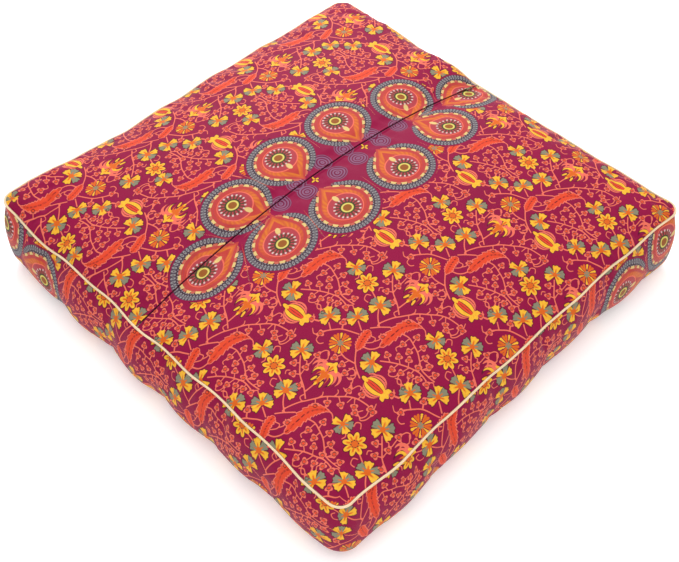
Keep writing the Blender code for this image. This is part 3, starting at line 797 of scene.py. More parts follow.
    def at(self, name, x, y):
        """Reads a field at places given in millimetres from the lotus."""
        field = self.fields[name]
        column = (x % self.wide) / self.wide * self.columns - 0.5
        row = (y / PRINT_STRETCH % self.tall) / self.tall * self.rows - 0.5
        c, r = np.floor(column).astype(int), np.floor(row).astype(int)
        fc, fr = column - c, row - r
        c0, c1 = c % self.columns, (c + 1) % self.columns
        r0, r1 = r % self.rows, (r + 1) % self.rows
        low = field[r0, c0] * (1 - fc) + field[r0, c1] * fc
        high = field[r1, c0] * (1 - fc) + field[r1, c1] * fc
        return low * (1 - fr) + high * fr


_repeat = []


def repeat():
    """The drawn repeat, made once for all the cloth."""
    if not _repeat:
        _repeat.append(Repeat().draw())
    return _repeat[0]


def ring_medallions():
    """(x, y, tip's angle) of each medallion of the ring, tips towards the ring's middle line."""
    found = []
    for along, wide in RING_ROWS:
        y = RING_Y + along
        if wide == 0:
            found.append((RING_X, y, -math.copysign(math.pi / 2, along)))
            continue
        lean = -RING_LEAN * math.copysign(1, along) if abs(along) > RING_LEAN_FROM else 0.0
        found.append((RING_X + wide, y, math.pi - lean))
        found.append((RING_X - wide, y, lean))
    return found


def rosette_places():
    """The small rosettes inside the ring, in pairs across its axis."""
    return [(ROSETTE_X + side * x, RING_Y + y) for x, y in ROSETTES for side in (1, -1)]


def medallion_fields(x, y, medallions):
    """Each point's place in the nearest medallion, in radii: along its tip, across it, and how far."""
    best = np.full(x.shape, 9.0)
    along = np.full(x.shape, 9.0)
    across = np.zeros(x.shape)
    for cx, cy, tip in medallions:
        dx, dy = (x - cx) / MEDALLION_ACROSS, (y - cy) / MEDALLION_ALONG
        far = np.hypot(dx, dy)
        c, s = math.cos(tip), math.sin(tip)
        nearer = far < best
        best = np.where(nearer, far, best)
        along = np.where(nearer, dx * c + dy * s, along)
        across = np.where(nearer, dy * c - dx * s, across)
    return along, across, np.minimum(best, 2.0)


def store(made, name, value):
    """Keeps a number for each point of the mesh, which the materials read by its name."""
    attribute = made.data.attributes.new(name, "FLOAT", "POINT")
    attribute.data.foreach_set("value", value.astype(np.float32).ravel())


def dress(made, x, y, origin, flipped, medallions=(), rosettes=(), clear=None):
    """Gives the cloth its print: distances to the printed shapes, and its place inside a medallion."""
    way = -1.0 if flipped else 1.0
    tile_x = way * (x - origin[0]) / MM
    tile_y = way * (y - origin[1]) / MM
    along, across, far = medallion_fields(x, y, medallions)
    blank = (MEDALLION_MARGIN - far) * 60.0
    if clear is not None:
        blank = np.maximum(blank, clear)
    cross = np.full(x.shape, 9.0)
    for cx, cy in RING_CROSSES if rosettes else ():
        dx, dy = (x - cx) / MM, (y - cy) / MM
        for along_by, across_by in ((dx, dy), (dy, dx)):
            arms = Repeat.oval(np.abs(along_by) - 5.0, across_by, 3.6, 1.9)
            cross = np.minimum(cross, arms)
    for name in repeat().fields:
        distance = np.maximum(repeat().at(name, tile_x, tile_y), blank)
        if name == "yellow":
            distance = np.minimum(distance, cross)
        store(made, "print_" + name, np.clip(distance, -PRINT_REACH, PRINT_REACH))
    rosette = np.full(x.shape, 2.0)
    for cx, cy in rosettes:
        rosette = np.minimum(rosette, np.hypot(x - cx, y - cy) / ROSETTE_RADIUS)
    store(made, "medallion_along", along)
    store(made, "medallion_across", across)
    store(made, "medallion_far", far)
    store(made, "rosette", rosette)


def lay_flat(made, x, y):
    """A UV map that holds the cloth's flat cut, so the weave follows the thread."""
    mesh = made.data
    low = np.array([x.min(), y.min()])
    size = max(x.max() - x.min(), y.max() - y.min()) * 1.01
    flat = np.stack([x.ravel(), y.ravel()], -1)
    corners = np.empty(len(mesh.loops), np.int32)
    mesh.loops.foreach_get("vertex_index", corners)
    layer = mesh.uv_layers.new(name="OFBake")
    layer.data.foreach_set("uv", (((flat - low) / size)[corners]).astype(np.float32).ravel())
    made["cut_size"] = float(size)


# ---------------------------------------------------------------- materials


class Wire:
    """A number in a material's node tree that takes ordinary arithmetic."""

    def __init__(self, tree, socket):
        self.tree, self.socket = tree, socket

    def math(self, operation, *others, clamp=False):
        node = self.tree.nodes.new("ShaderNodeMath")
        node.operation = operation
        node.use_clamp = clamp
        for slot, value in enumerate((self, *others)):
            if isinstance(value, Wire):
                self.tree.links.new(value.socket, node.inputs[slot])
            else:
                node.inputs[slot].default_value = value
        return Wire(self.tree, node.outputs[0])

    def __add__(self, other):
        return self.math("ADD", other)

    def __sub__(self, other):
        return self.math("SUBTRACT", other)

    def __mul__(self, other):
        return self.math("MULTIPLY", other)

    def __neg__(self):
        return self.math("MULTIPLY", -1.0)

    def abs(self):
        return self.math("ABSOLUTE")

    def cos(self):
        return self.math("COSINE")

    def under(self, edge, soft):
        """1 where the number is under edge and 0 where it is over, changing over a soft width."""
        return (self - edge).math("MULTIPLY_ADD", -1.0 / soft, 0.5, clamp=True)

    def both(self, other):
        return self.math("MINIMUM", other)

    def either(self, other):
        return self.math("MAXIMUM", other)


class Surface:
    """A new material, with short ways to add its nodes."""

    def __init__(self, name, roughness, specular=0.5, sheen=0.0, sheen_roughness=0.5, metallic=0.0):
        self.material = bpy.data.materials.new(name)
        self.material.use_nodes = True
        self.tree = self.material.node_tree
        self.tones = {}
        self.shader = self.tree.nodes["Principled BSDF"]
        self.shader.inputs["Roughness"].default_value = roughness
        self.shader.inputs["Specular IOR Level"].default_value = specular
        self.shader.inputs["Sheen Weight"].default_value = sheen
        self.shader.inputs["Sheen Roughness"].default_value = sheen_roughness
        self.shader.inputs["Metallic"].default_value = metallic

    def node(self, kind, **inputs):
        made = self.tree.nodes.new(kind)
        for name, value in inputs.items():
            socket = made.inputs[name.replace("_", " ")]
            if isinstance(value, Wire):
                self.tree.links.new(value.socket, socket)
            elif isinstance(value, bpy.types.NodeSocket):
                self.tree.links.new(value, socket)
            else:
                socket.default_value = value
        return made

    def attribute(self, name):
        made = self.tree.nodes.new("ShaderNodeAttribute")
        made.attribute_name = name
        return Wire(self.tree, made.outputs["Fac"])

    def tone(self, value):
        """A socket that gives the colour: value itself if it is one, or else a node for that colour."""
        if isinstance(value, bpy.types.NodeSocket):
            return value
        key = tuple(value)
        if key not in self.tones:
            made = self.tree.nodes.new("ShaderNodeRGB")
            made.outputs[0].default_value = (*key, 1.0)
            self.tones[key] = made.outputs[0]
        return self.tones[key]

    def mix(self, factor, first, second):
        made = self.tree.nodes.new("ShaderNodeMix")
        made.data_type = "RGBA"
        self.tree.links.new(factor.socket, made.inputs["Factor"])
        self.tree.links.new(self.tone(first), made.inputs[6])
        self.tree.links.new(self.tone(second), made.inputs[7])
        return made.outputs[2]

    def paint(self, base, layers):
        """Lays (mask, colour) layers over a base colour in their order."""
        for mask, colour in layers:
            base = self.mix(mask, base, colour)
        return base

    def noise(self, scale, detail=2.0, vector=None):
        made = self.node("ShaderNodeTexNoise", Scale=scale, Detail=detail)
        if vector is not None:
            self.tree.links.new(vector, made.inputs["Vector"])
        return Wire(self.tree, made.outputs["Fac"])

    def place(self):
        return self.node("ShaderNodeTexCoord").outputs["Object"]

    def shade(self, colour, amount):
        """Darkens or lightens a colour by a number round 1."""
        made = self.tree.nodes.new("ShaderNodeVectorMath")
        made.operation = "SCALE"
        self.tree.links.new(self.tone(colour), made.inputs[0])
        self.tree.links.new(amount.socket, made.inputs["Scale"])
        return made.outputs[0]

    def finish(self, colour, roughness=None, height=None, depth=0.0002, strength=1.0):
        self.tree.links.new(colour, self.shader.inputs["Base Color"])
        if roughness is not None:
            self.tree.links.new(roughness.socket, self.shader.inputs["Roughness"])
        if height is not None:
            bump = self.node("ShaderNodeBump", Strength=strength, Distance=depth, Height=height)
            self.tree.links.new(bump.outputs["Normal"], self.shader.inputs["Normal"])
        return self.material


def weave(surface, pitch, cut_size):
    """Height of a plain weave, threads one pitch apart, that follows the cloth's flat cut."""
    uv = surface.tree.nodes.new("ShaderNodeUVMap")
    uv.uv_map = "OFBake"
    split = surface.node("ShaderNodeSeparateXYZ", Vector=uv.outputs["UV"])
    turns = 2 * math.pi * cut_size / pitch
    across = (Wire(surface.tree, split.outputs["X"]) * turns).math("SINE")
    along = (Wire(surface.tree, split.outputs["Y"]) * turns).math("SINE")
    return across * along


# Tones of the medallions and rosettes that aren't for a user to change
PALE_THREAD, WHITE_DOTS = (0.25, 0.235, 0.24), (0.60, 0.45, 0.42)
SALMON, DROP_RED, FLANK = (0.50, 0.11, 0.070), (0.45, 0.045, 0.036), (0.60, 0.155, 0.022)
OLIVE, GOLD, BROWN = (0.050, 0.045, 0.020), (0.62, 0.53, 0.12), (0.27, 0.085, 0.016)
ROSETTE_GROUND, ROSETTE_RINGS = (0.075, 0.006, 0.035), (0.235, 0.115, 0.20)

# A medallion, in shares of its radius: its drop reaches DROP_ROUND, and DROP_TIP more at the tip
DROP_ROUND, DROP_TIP, DROP_TAPER = 0.70, 0.40, 3.6
RIM_BEADS, RIM_DASHES, DISC_SPOKES = 58.0, 15.0, 18.0
DISC_BACK, PIP_AHEAD = 0.125, 0.44
CRISP = 0.018


def rim_layers(radius, angle, depth, inside):
    """The beaded rim, open at the tip, and the dashes between it and the drop."""
    tones = colours()
    rim = inside.both(depth.under(0.0, CRISP)).both((-angle.abs()).under(-0.36, 0.16))
    beads = (angle * RIM_BEADS).cos()
    bead = ((radius - 0.915) * 15.0).abs()
    loop = (bead * bead - beads).under(0.45, 0.5)
    knot = (bead * bead * 3.0 - beads).under(-0.55, 0.5)
    thread = (radius - 0.828).abs().under(0.012, CRISP)
    second = (radius - 0.800).abs().under(0.018, CRISP).both(beads.under(0.0, 0.5))
    dashes = (angle * RIM_DASHES).cos()
    dash_zone = (depth + 0.045).abs().under(0.040, CRISP).both(inside)
    dots = (depth + 0.075).abs().under(0.026, CRISP).both((dashes + 0.15).abs().under(0.30, 0.2))
    return [
        (rim, tones.slate),
        (loop.both(rim), PALE_THREAD),
        (knot.both(rim) * 0.8, tones.ink),
        (thread.both(rim), tones.ink),
        (second.both(rim), PALE_THREAD),
        (dash_zone, SALMON),
        (dash_zone.both((-dashes).under(0.05, 0.3)), tones.cream),
        (dots.both(inside), tones.ink),
    ]


def drop_layers(radius, off_tip, depth, far):
    """The red drop that points to the tip, lighter on its flanks, with a line inside its edge."""
    drop = (-depth).under(0.0, CRISP).both(far.under(1.12, CRISP))
    streaks = (radius * 30.0 + off_tip * 26.0).cos() * 0.25
    flank = (depth - 0.185).abs().under(0.085, 0.06) * off_tip.under(1.7, 1.4)
    line = (depth - 0.060).abs().under(0.014, CRISP)
    return [
        (drop, DROP_RED),
        ((flank * (streaks + 0.75)).both(drop), FLANK),
        (line.both(drop) * 0.7, colours().mauve),
    ]


def disc_layers(along, across):
    """The ringed disc at the drop's round end, and the pip between it and the tip."""
    tones = colours()
    back = along + DISC_BACK
    radius = (back * back + across * across).math("SQRT")
    pointed = radius - along * 0.16
    spokes = (across.math("ARCTAN2", back) * DISC_SPOKES).cos()
    ring = (radius - 0.285).abs().under(0.075, 0.05)
    dots = (radius - 0.36).abs().under(0.030, CRISP)
    pip = along - PIP_AHEAD
    pip_radius = (pip * pip * 0.40 + across * across).math("SQRT") + pip * 0.30
    return [
        (pointed.under(0.50, 0.04), tones.mauve),
        ((pointed - 0.51).abs().under(0.014, CRISP), tones.coral),
        (ring.both(spokes.under(0.1, 0.8)) * 0.85, OLIVE),
        (dots.both((-spokes).under(-0.35, 0.5)), WHITE_DOTS),
        (radius.under(0.225, CRISP), OLIVE),
        (radius.under(0.175, CRISP), GOLD),
        (radius.under(0.125, CRISP), BROWN),
        (pip_radius.under(0.062, CRISP), tones.cream),
    ]


def medallion_layers(surface):
    """The medallions' (mask, colour) layers from the lowest up."""
    along, across = surface.attribute("medallion_along"), surface.attribute("medallion_across")
    far = surface.attribute("medallion_far")
    radius = (along * along + across * across).math("SQRT")
    angle = across.math("ARCTAN2", along)
    off_tip = angle.abs()
    depth = (off_tip * -DROP_TAPER).math("EXPONENT") * DROP_TIP + DROP_ROUND - radius
    return (
        rim_layers(radius, angle, depth, far.under(1.0, CRISP))
        + drop_layers(radius, off_tip, depth, far)
        + disc_layers(along, across)
    )


def printed_cotton(name, cut_size):
    """The cover's cloth: a blotchy ground, the floral print, rosettes and medallions, and the weave."""
    tones = colours()
    surface = Surface(name, 0.60, specular=0.10, sheen=0.16, sheen_roughness=0.28)
    place = surface.place()
    blotch = surface.noise(9.0, 3.0, place)
    ground = surface.shade(tones.ground, blotch * 0.35 + 0.84)
    stem, leaf, petal, grey, heart, ink = (surface.attribute("print_" + part) for part in PRINTED)
    petals = petal.both(grey)
    shadow = (petals.both(leaf + 0.2).under(1.2, 1.4) * 0.8).either(stem.under(0.7, 1.0) * 0.45)
    tint = surface.noise(260.0, 1.0, place)
    yellow = surface.paint(tones.yellow, [
        ((tint - 0.42) * 0.9, tones.orange),
        (heart.under(0.9, 1.6) * 0.5, tones.orange),
    ])
    rosette = surface.attribute("rosette")
    rings = (rosette * 22.0).cos().under(0.15, 0.8).both(rosette.under(1.0, 0.05))
    paint = surface.paint(ground, [
        (shadow, tones.ink),
        (stem.under(0.0, PRINT_SOFT), tones.coral),
        (leaf.under(0.0, PRINT_SOFT), tones.red),
        (petal.under(0.0, PRINT_SOFT), yellow),
        (grey.under(0.0, PRINT_SOFT), tones.grey),
        (heart.under(0.0, PRINT_SOFT), tones.orange),
        (ink.under(0.0, PRINT_SOFT) * 0.8, tones.ink),
        (rosette.under(1.03, 0.05) * 0.55, ROSETTE_GROUND),
        (rings * 0.8, ROSETTE_RINGS),
        *medallion_layers(surface),
    ])
    threads = weave(surface, THREAD_PITCH, cut_size)
    slub = surface.noise(700.0, 2.0, place)
    height = threads * 0.5 + slub * 0.6
    # Painted shade of the weave: the colour is drawn lighter where the threads rise and darker where they
    # dip
    paint = surface.shade(paint, threads * 0.05 + 1.0)
    return surface.finish(paint, blotch * 0.14 + 0.55, height, depth=0.00018, strength=0.6)


def piping_satin():
    """The pale gold satin of the piping."""
    surface = Surface("piping_satin", 0.42, specular=0.5, sheen=0.25, sheen_roughness=0.35)
    place = surface.place()
    blotch = surface.noise(40.0, 2.0, place)
    fibre = surface.noise(900.0, 2.0, place)
    paint = surface.shade(colours().piping, blotch * 0.30 + 0.86)
    return surface.finish(paint, fibre * 0.2 + 0.34, fibre, depth=0.0002, strength=0.5)


def plain_cotton(name, tone, grain):
    """Undyed cotton or fibre, with its grain as a noise scale."""
    surface = Surface(name, 0.85, specular=0.3, sheen=0.2)
    place = surface.place()
    fibre = surface.noise(grain, 3.0, place)
    blotch = surface.noise(12.0, 3.0, place)
    paint = surface.shade(tone, blotch * 0.22 + 0.88)
    return surface.finish(paint, fibre * 0.15 + 0.78, fibre, depth=0.0004, strength=0.7)


def zip_tape_cloth():
    """Plum twill of the zip's tapes."""
    surface = Surface("zip_tape_cloth", 0.7, specular=0.35, sheen=0.15)
    made = surface.node("ShaderNodeTexWave", Vector=surface.place(), Scale=190.0, Distortion=1.2)
    made.bands_direction = "DIAGONAL"
    twill = Wire(surface.tree, made.outputs["Fac"])
    # Painted light and shade: the twill's raised lines are drawn in the lighter plum and its grooves in
    # the darker one
    paint = surface.mix(twill, (0.120, 0.004, 0.030), (0.190, 0.008, 0.050))
    return surface.finish(paint, twill * 0.15 + 0.6, twill, depth=0.0002, strength=0.8)


def zip_coil_nylon():
    """Plum nylon of the coils, with a ridge for each turn."""
    surface = Surface("zip_coil_nylon", 0.4, specular=0.5)
    made = surface.node("ShaderNodeTexWave", Vector=surface.place(), Scale=145.0)
    made.bands_direction = "Y"
    made.wave_profile = "SIN"
    turns = Wire(surface.tree, made.outputs["Fac"])
    # Painted highlight and shade: each turn is drawn lighter on its ridge and darker in the groove
    # between turns
    paint = surface.mix(turns, (0.100, 0.004, 0.028), (0.240, 0.020, 0.075))
    return surface.finish(paint, turns * -0.2 + 0.55, turns, depth=0.0006, strength=1.0)


def antique_metal():
    """Tarnished brass of the slider and its pull."""
    surface = Surface("antique_metal", 0.35, metallic=1.0)
    place = surface.place()
    tarnish = surface.noise(420.0, 4.0, place)
    scuff = surface.noise(1500.0, 2.0, place)
    paint = surface.mix(tarnish.under(0.55, 0.3), (0.36, 0.27, 0.15), colours().metal)
    return surface.finish(paint, tarnish * 0.35 + 0.18, scuff, depth=0.0001, strength=0.4)


def wear(piece, material):
    """Gives a piece its one material."""
    piece.data.materials.clear()
    piece.data.materials.append(material)


# ---------------------------------------------------------------- pieces


def even_line(low, high, step):
    """Even places from low to high, about a step apart."""
    return np.linspace(low, high, max(2, round((high - low) / step) + 1))


def ring_clearing(x, y):
    """Above zero where the floral print gives way to the plain ground inside the ring of medallions."""
    rows = sorted(RING_ROWS)
    wide = np.interp(y - RING_Y, [row[0] for row in rows], [row[1] for row in rows])
    inside = (np.abs(y - RING_Y) < rows[-1][0]) * 1.0
    return np.where(inside > 0, (wide + 0.012 - np.abs(x - RING_X)) / MM, -9.0)


def half_path(edge, side):
    """Places (x, drop) across a half of the top, and how many are in the fold.

    They run from the hidden end under the folded edge, round the fold and out to the piping.
    """
    bend = FOLD_THICKNESS / 2
    fold = [(edge + side * FOLD_WIDTH * share, FOLD_THICKNESS) for share in (1, 0.7, 0.4, 0.12)]
    for step in range(5, 0, -1):
        angle = math.pi * step / 6
        fold.append((edge + side * bend * (1 - math.sin(angle)), bend * (1 - math.cos(angle))))
    flat = side * even_line(side * edge + bend, PANEL_HALF, FINE)
    across = np.array([x for x, _ in fold] + list(flat))
    drop = np.array([down for _, down in fold] + [0.0] * len(flat))
    return across, drop, len(fold)


class CUSHION_OT_top(bpy.types.Operator):
    """Makes the two halves of the printed top, folded under at the zip"""

    bl_idname = "cushion.make_top"
    bl_label = "Make the top"

    def execute(self, context):
        for name, side, edge in (("top_left", -1, SLOT_LEFT), ("top_right", 1, SLOT_RIGHT)):
            self.make_half(name, side, edge)
        return {"FINISHED"}

    def make_half(self, name, side, edge):
        """Makes one half of the top, whose folded edge stops short of the seams at its two ends."""
        path_x, path_drop, folded = half_path(edge, side)
        rows = even_line(-PANEL_HALF, PANEL_HALF, FINE)
        x, y = np.meshgrid(path_x, rows)
        shut = np.clip((np.abs(y) - COIL_END) / SHUT_LENGTH, 0, 1)
        shut = shut * hump(x, SHUT_REACH, edge) * (ZIP_X - edge + side * SHUT_GAP)
        points = top_points(x + shut, y, path_drop[None, :])
        cells = (SIM_LINES - 1) / 2
        moved = carry(
            settled_cloth()["top"],
            (rows / PANEL_HALF + 1) * cells,
            (path_x / PANEL_HALF + 1) * cells,
        )
        loose = np.clip((np.abs(x - ZIP_X) - LOOSE_FROM) / LOOSE_OVER, 0, 1)[..., None]
        points = points + moved * loose
        faces = grid_faces(len(rows), len(path_x)).reshape(len(rows) - 1, len(path_x) - 1, 4)
        ends = np.abs((rows[:-1] + rows[1:]) / 2) > HALF - ALLOWANCE - 0.005
        keep = np.ones(faces.shape[:2], bool)
        keep[ends, :folded] = False
        faces = faces[keep]
        if side < 0:
            faces = faces[:, ::-1]
        used = np.zeros(x.size, bool)
        used[faces.ravel()] = True
        number = np.cumsum(used) - 1
        made = new_mesh(name, points.reshape(-1, 3)[used], number[faces])
        flat_x, flat_y = x.ravel()[used], y.ravel()[used]
        drop = np.broadcast_to(path_drop[None, :], x.shape).ravel()[used]
        flat_x = np.where(drop > 0.95 * FOLD_THICKNESS, 2 * edge - flat_x, flat_x)
        origin = RIGHT_ORIGIN if side > 0 else LEFT_ORIGIN
        dress(
            made, flat_x, flat_y, origin, side < 0, ring_medallions(), rosette_places(),
            ring_clearing(flat_x, flat_y),
        )
        lay_flat(made, flat_x, flat_y)
        wear(made, printed_cotton(name + "_cotton", made["cut_size"]))
        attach(made, "cushion")
        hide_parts("top_panel_left" if side < 0 else "top_panel_right")
        width = abs(side * PANEL_HALF - edge) + FOLD_WIDTH


class CUSHION_OT_boxing(bpy.types.Operator):
    """Makes the two lengths of the side band, each round one corner"""

    bl_idname = "cushion.make_boxing"
    bl_label = "Make the side band"

    def execute(self, context):
        for name, first, node in (
            ("band_front_right", 0, "boxing_front_right"),
            ("band_back_left", 2, "boxing_back_left"),
        ):
            turns = np.linspace(first + 0.0002, first + 1.9998, round(4 * HALF / FINE))
            outline = band_outline()
            length = np.linalg.norm(np.diff(outline, axis=0), axis=1).sum()
            shares = np.linspace(0, 1, round(length / FINE))
            points = band_points(turns, shares)
            moved = settled_cloth()["band"]
            points = points + carry(
                moved, (turns % 4) * (SIM_LINES - 1), shares * (SIM_ROWS + 1), wraps=True
            )
            made = new_mesh(name, points.reshape(-1, 3), grid_faces(len(turns), len(shares))[:, ::-1])
            along = np.broadcast_to(((turns - first) * 2 * HALF)[:, None], points.shape[:2]).ravel()
            profile = spline_weights(len(outline), shares * (len(outline) - 1)) @ outline
            steps = np.linalg.norm(np.diff(profile, axis=0), axis=1)
            run = np.concatenate([[0], np.cumsum(steps)])
            down = np.broadcast_to(run[None, :], points.shape[:2]).ravel()
            medallions = [
                (place, -down_by, 0.0 if place > 2 * HALF else math.pi)
                for place, down_by in BAND_MEDALLIONS
            ]
            dress(made, along, -down, BAND_ORIGIN, False, medallions)
            lay_flat(made, along, -down)
            wear(made, printed_cotton(name + "_cotton", made["cut_size"]))
            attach(made, "cushion")
            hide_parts(node)
        return {"FINISHED"}


class CUSHION_OT_underside(bpy.types.Operator):
    """Makes the bottom panel that the cushion rests on"""

    bl_idname = "cushion.make_underside"
    bl_label = "Make the underside"

    def execute(self, context):
        line = even_line(-FLOOR_HALF, FLOOR_HALF, FINE * 1.6)
        x, y = np.meshgrid(line, line)
        cells = (line / FLOOR_HALF + 1) * (SIM_LINES - 1) / 2
        points = floor_points(x, y) + carry(settled_cloth()["under"], cells, cells)
        points[..., 2] = np.maximum(points[..., 2], 0.0)
        made = new_mesh("underside", points.reshape(-1, 3), grid_faces(len(line), len(line))[:, ::-1])
        dress(made, x.ravel(), y.ravel(), RIGHT_ORIGIN, False)
        lay_flat(made, x.ravel(), y.ravel())
        wear(made, printed_cotton("underside_cotton", made["cut_size"]))
        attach(made, "cushion")
        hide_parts("bottom_panel")
        return {"FINISHED"}


def swept_ring(name, outline, columns):
    """Sweeps a closed (out, rise) outline round the piped seam."""
    turns = np.arange(columns) * 4 / columns
    rows = []
    for out, rise in outline:
        x, y = edge_place(turns, np.full(columns, out))
        rows.append(settle(np.stack([x, y, np.full(columns, SEAM_Z)], -1)) + np.array([0, 0, rise]))
    points = np.stack(rows, 1)
    count = len(outline)
    at = np.arange(columns * count).reshape(columns, count)
    ahead = np.roll(at, -1, 0)
    faces = np.stack([at, ahead, np.roll(ahead, -1, 1), np.roll(at, -1, 1)], -1).reshape(-1, 4)
    return new_mesh(name, points.reshape(-1, 3), faces)


def arc(radius, start, end, steps):
    """Points (out, rise) of an arc between two angles."""
    angles = np.linspace(start, end, steps + 1)
    return list(zip(radius * np.cos(angles), radius * np.sin(angles)))


class CUSHION_OT_piping(bpy.types.Operator):
    """Makes the piping round the top edge: a folded satin strip over a twisted cord"""

    bl_idname = "cushion.make_piping"
    bl_label = "Make the piping"

    def execute(self, context):
        outer, inner = PIPING_RADIUS + STRIP_OUT, PIPING_RADIUS - STRIP_IN
        flange = STRIP_SLIT + STRIP_CLOTH
        flange_in = PIPING_RADIUS + ALLOWANCE
        open_in, open_out = 0.08, math.asin(flange / outer)
        outline = [
            (-flange_in, STRIP_SLIT),
            *arc(inner, math.pi - open_in, open_in - math.pi, 16),
            (-flange_in, -STRIP_SLIT),
            (-flange_in, -flange),
            *arc(outer, open_out - math.pi, math.pi - open_out, 20),
            (-flange_in, flange),
        ]
        cover = swept_ring("piping_strip", outline, STRIP_COLUMNS)
        wear(cover, piping_satin())
        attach(cover, "cushion")
        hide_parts("piping_cover")
        angles = 2 * math.pi * np.arange(CORD_POINTS) / CORD_POINTS
        reach = (inner - 0.0003) * (0.90 + 0.10 * np.cos(3 * angles))
        strands = list(zip(reach * np.cos(angles), reach * np.sin(angles)))
        core = swept_ring("piping_core", strands, CORD_COLUMNS)
        wear(core, plain_cotton("cord_cotton", colours().calico, 1400.0))
        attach(core, "cushion")
        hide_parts("piping_cord")
        return {"FINISHED"}


class CUSHION_OT_inner(bpy.types.Operator):
    """Makes the filling and its inner case from the settled shape of the cover"""

    bl_idname = "cushion.make_inner"
    bl_label = "Make the filling and its case"

    def inset(self, name, distance):
        """A closed piece inside the settled cover, a distance in from it."""
        cover = settled_cloth()
        made = new_mesh(name, cover["points"], cover["faces"])
        mesh = made.data
        normals = np.array([v.normal for v in mesh.vertices])
        points = cover["points"] - normals * distance
        points[:, 2] = np.maximum(points[:, 2], 0.0006 + distance * 0.15)
        mesh.vertices.foreach_set("co", points.astype(np.float32).ravel())
        mesh.update()
        return made

    def execute(self, context):
        filling = self.inset("filling_pad", CASE_DROP + CASE_THICKNESS)
        wear(filling, plain_cotton("fibre_fill", (0.88, 0.87, 0.84), 220.0))
        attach(filling, "cushion")
        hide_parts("filling")
        split = (SEAM_Z + FLOOR_SEAM_Z) / 2
        for name, node, above in (
            ("case_upper", "inner_case_top", True),
            ("case_lower", "inner_case_bottom", False),
        ):
            whole = self.inset(name, CASE_DROP)
            other_half = [p.index for p in whole.data.polygons if (p.center.z > split) != above]
            self.drop_faces(whole.data, other_half)
            wear(whole, plain_cotton(name + "_calico", colours().calico, 800.0))
            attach(whole, "cushion")
            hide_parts(node)
        return {"FINISHED"}

    @staticmethod
    def drop_faces(mesh, numbers):
        work = bmesh.new()
        work.from_mesh(mesh)
        work.faces.ensure_lookup_table()
        bmesh.ops.delete(work, geom=[work.faces[n] for n in numbers], context="FACES")
        work.to_mesh(mesh)
        work.free()


class CUSHION_OT_zip(bpy.types.Operator):
    """Gives the zip's tapes, coils, slider and pull their finishes"""

    bl_idname = "cushion.finish_zip"
    bl_label = "Finish the zip"

    def execute(self, context):
        tape, coil, metal = zip_tape_cloth(), zip_coil_nylon(), antique_metal()
        for node, material in (
            ("zip_tape_left", tape), ("zip_tape_right", tape), ("zip_coil_left", coil),
            ("zip_coil_right", coil), ("zip_slider", metal), ("zip_pull", metal),
        ):
            frame["nodes"][node].material_slots[0].material = material
        return {"FINISHED"}


FLOOR_REACH, FLOOR_LINES = 20.0, 9


def area_light(name, place, target, size, power):
    """A soft rectangular lamp that faces a target."""
    light = bpy.data.lights.new(name, "AREA")
    light.shape = "RECTANGLE"
    light.size, light.size_y = size
    light.energy = power
    made = bpy.data.objects.new(name, light)
    made.location = place
    made.rotation_euler = (Vector(target) - Vector(place)).to_track_quat("-Z", "Y").to_euler()
    bpy.context.scene.collection.objects.link(made)


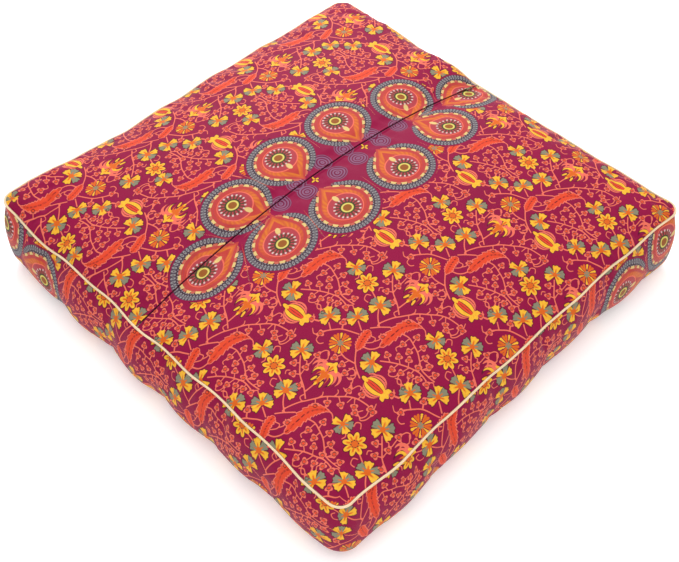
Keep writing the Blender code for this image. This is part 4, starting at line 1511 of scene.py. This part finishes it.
class CUSHION_OT_stage(bpy.types.Operator):
    """Makes the plain floor, the soft lights and the camera"""

    bl_idname = "cushion.make_stage"
    bl_label = "Make the stage"

    azimuth: bpy.props.FloatProperty(
        name="Azimuth", description="Which way round the camera stands",
        default=math.radians(45.4), subtype="ANGLE",
    )
    elevation: bpy.props.FloatProperty(
        name="Elevation", description="How steeply the camera looks down",
        default=math.radians(50.7), subtype="ANGLE",
    )
    distance: bpy.props.FloatProperty(
        name="Distance", description="From the camera to the cushion",
        default=2.121, unit="LENGTH",
    )
    lens: bpy.props.FloatProperty(
        name="Lens", description="Focal length in millimetres",
        default=57.26, subtype="DISTANCE_CAMERA",
    )

    def execute(self, context):
        line = np.linspace(-FLOOR_REACH, FLOOR_REACH, FLOOR_LINES)
        x, y = np.meshgrid(line, line)
        points = np.stack([x, y, np.zeros_like(x)], -1).reshape(-1, 3)
        floor = new_mesh("floor", points, grid_faces(FLOOR_LINES, FLOOR_LINES))
        surface = Surface("pale_floor", 0.6, specular=0.2)
        surface.shader.inputs["Emission Color"].default_value = (1.0, 1.0, 1.0, 1.0)
        surface.shader.inputs["Emission Strength"].default_value = 0.25
        cloud = surface.noise(1.5, 2.0, surface.place())
        wear(floor, surface.finish(surface.shade(colours().floor, cloud * 0.02 + 0.99)))
        target = Vector((0.035, -0.040, 0.0))
        flat = math.cos(self.elevation)
        back = Vector((
            math.sin(self.azimuth) * flat, -math.cos(self.azimuth) * flat, math.sin(self.elevation),
        ))
        camera = bpy.data.cameras.new("camera")
        camera.sensor_width = 36.0
        camera.lens = self.lens
        camera.clip_end = 100.0
        eye = bpy.data.objects.new("camera", camera)
        eye.location = target + back * self.distance
        eye.rotation_euler = back.to_track_quat("Z", "Y").to_euler()
        context.scene.collection.objects.link(eye)
        context.scene.camera = eye
        world = bpy.data.worlds.new("soft_room")
        world.use_nodes = True
        sky = world.node_tree.nodes["Background"].inputs
        sky["Color"].default_value = (1.0, 1.0, 1.0, 1.0)
        sky["Strength"].default_value = 0.70
        context.scene.world = world
        area_light("key_light", (-1.9, 1.5, 1.5), (-0.1, 0.1, 0.15), (1.6, 1.2), 50.0)
        area_light("top_light", (0.3, -0.2, 3.0), (0.0, 0.0, 0.1), (2.4, 2.4), 40.0)
        area_light("fill_light", (2.2, -2.0, 1.4), (0.0, 0.0, 0.1), (1.8, 1.4), 14.0)
        context.scene.view_settings.view_transform = "Standard"
        return {"FINISHED"}


class CUSHION_PT_panel(bpy.types.Panel):
    """Lists the cushion's sizes, its steps in order and its colours"""

    bl_label = "Floor cushion"
    bl_idname = "CUSHION_PT_panel"
    bl_space_type = "VIEW_3D"
    bl_region_type = "UI"
    bl_category = "Cushion"

    def draw(self, context):
        layout = self.layout
        for name in CushionSizes.__annotations__:
            layout.prop(context.scene.cushion_sizes, name)
        for operator in OPERATORS:
            layout.operator(operator.bl_idname)
        for name in CushionColours.__annotations__:
            layout.prop(context.scene.cushion_colours, name)


OPERATORS = (
    CUSHION_OT_inner,
    CUSHION_OT_top,
    CUSHION_OT_boxing,
    CUSHION_OT_underside,
    CUSHION_OT_piping,
    CUSHION_OT_zip,
    CUSHION_OT_stage,
)
CLASSES = (CushionSizes, CushionColours, *OPERATORS, CUSHION_PT_panel)


def register():
    for kind in CLASSES:
        bpy.utils.register_class(kind)
    bpy.types.Scene.cushion_sizes = bpy.props.PointerProperty(type=CushionSizes)
    bpy.types.Scene.cushion_colours = bpy.props.PointerProperty(type=CushionColours)


def unregister():
    del bpy.types.Scene.cushion_sizes
    del bpy.types.Scene.cushion_colours
    for kind in reversed(CLASSES):
        bpy.utils.unregister_class(kind)


def main():
    register()
    bpy.ops.cushion.make_inner()
    bpy.ops.cushion.make_top()
    bpy.ops.cushion.make_boxing()
    bpy.ops.cushion.make_underside()
    bpy.ops.cushion.make_piping()
    bpy.ops.cushion.finish_zip()
    bpy.ops.cushion.make_stage()


if __name__ == "__main__":
    main()
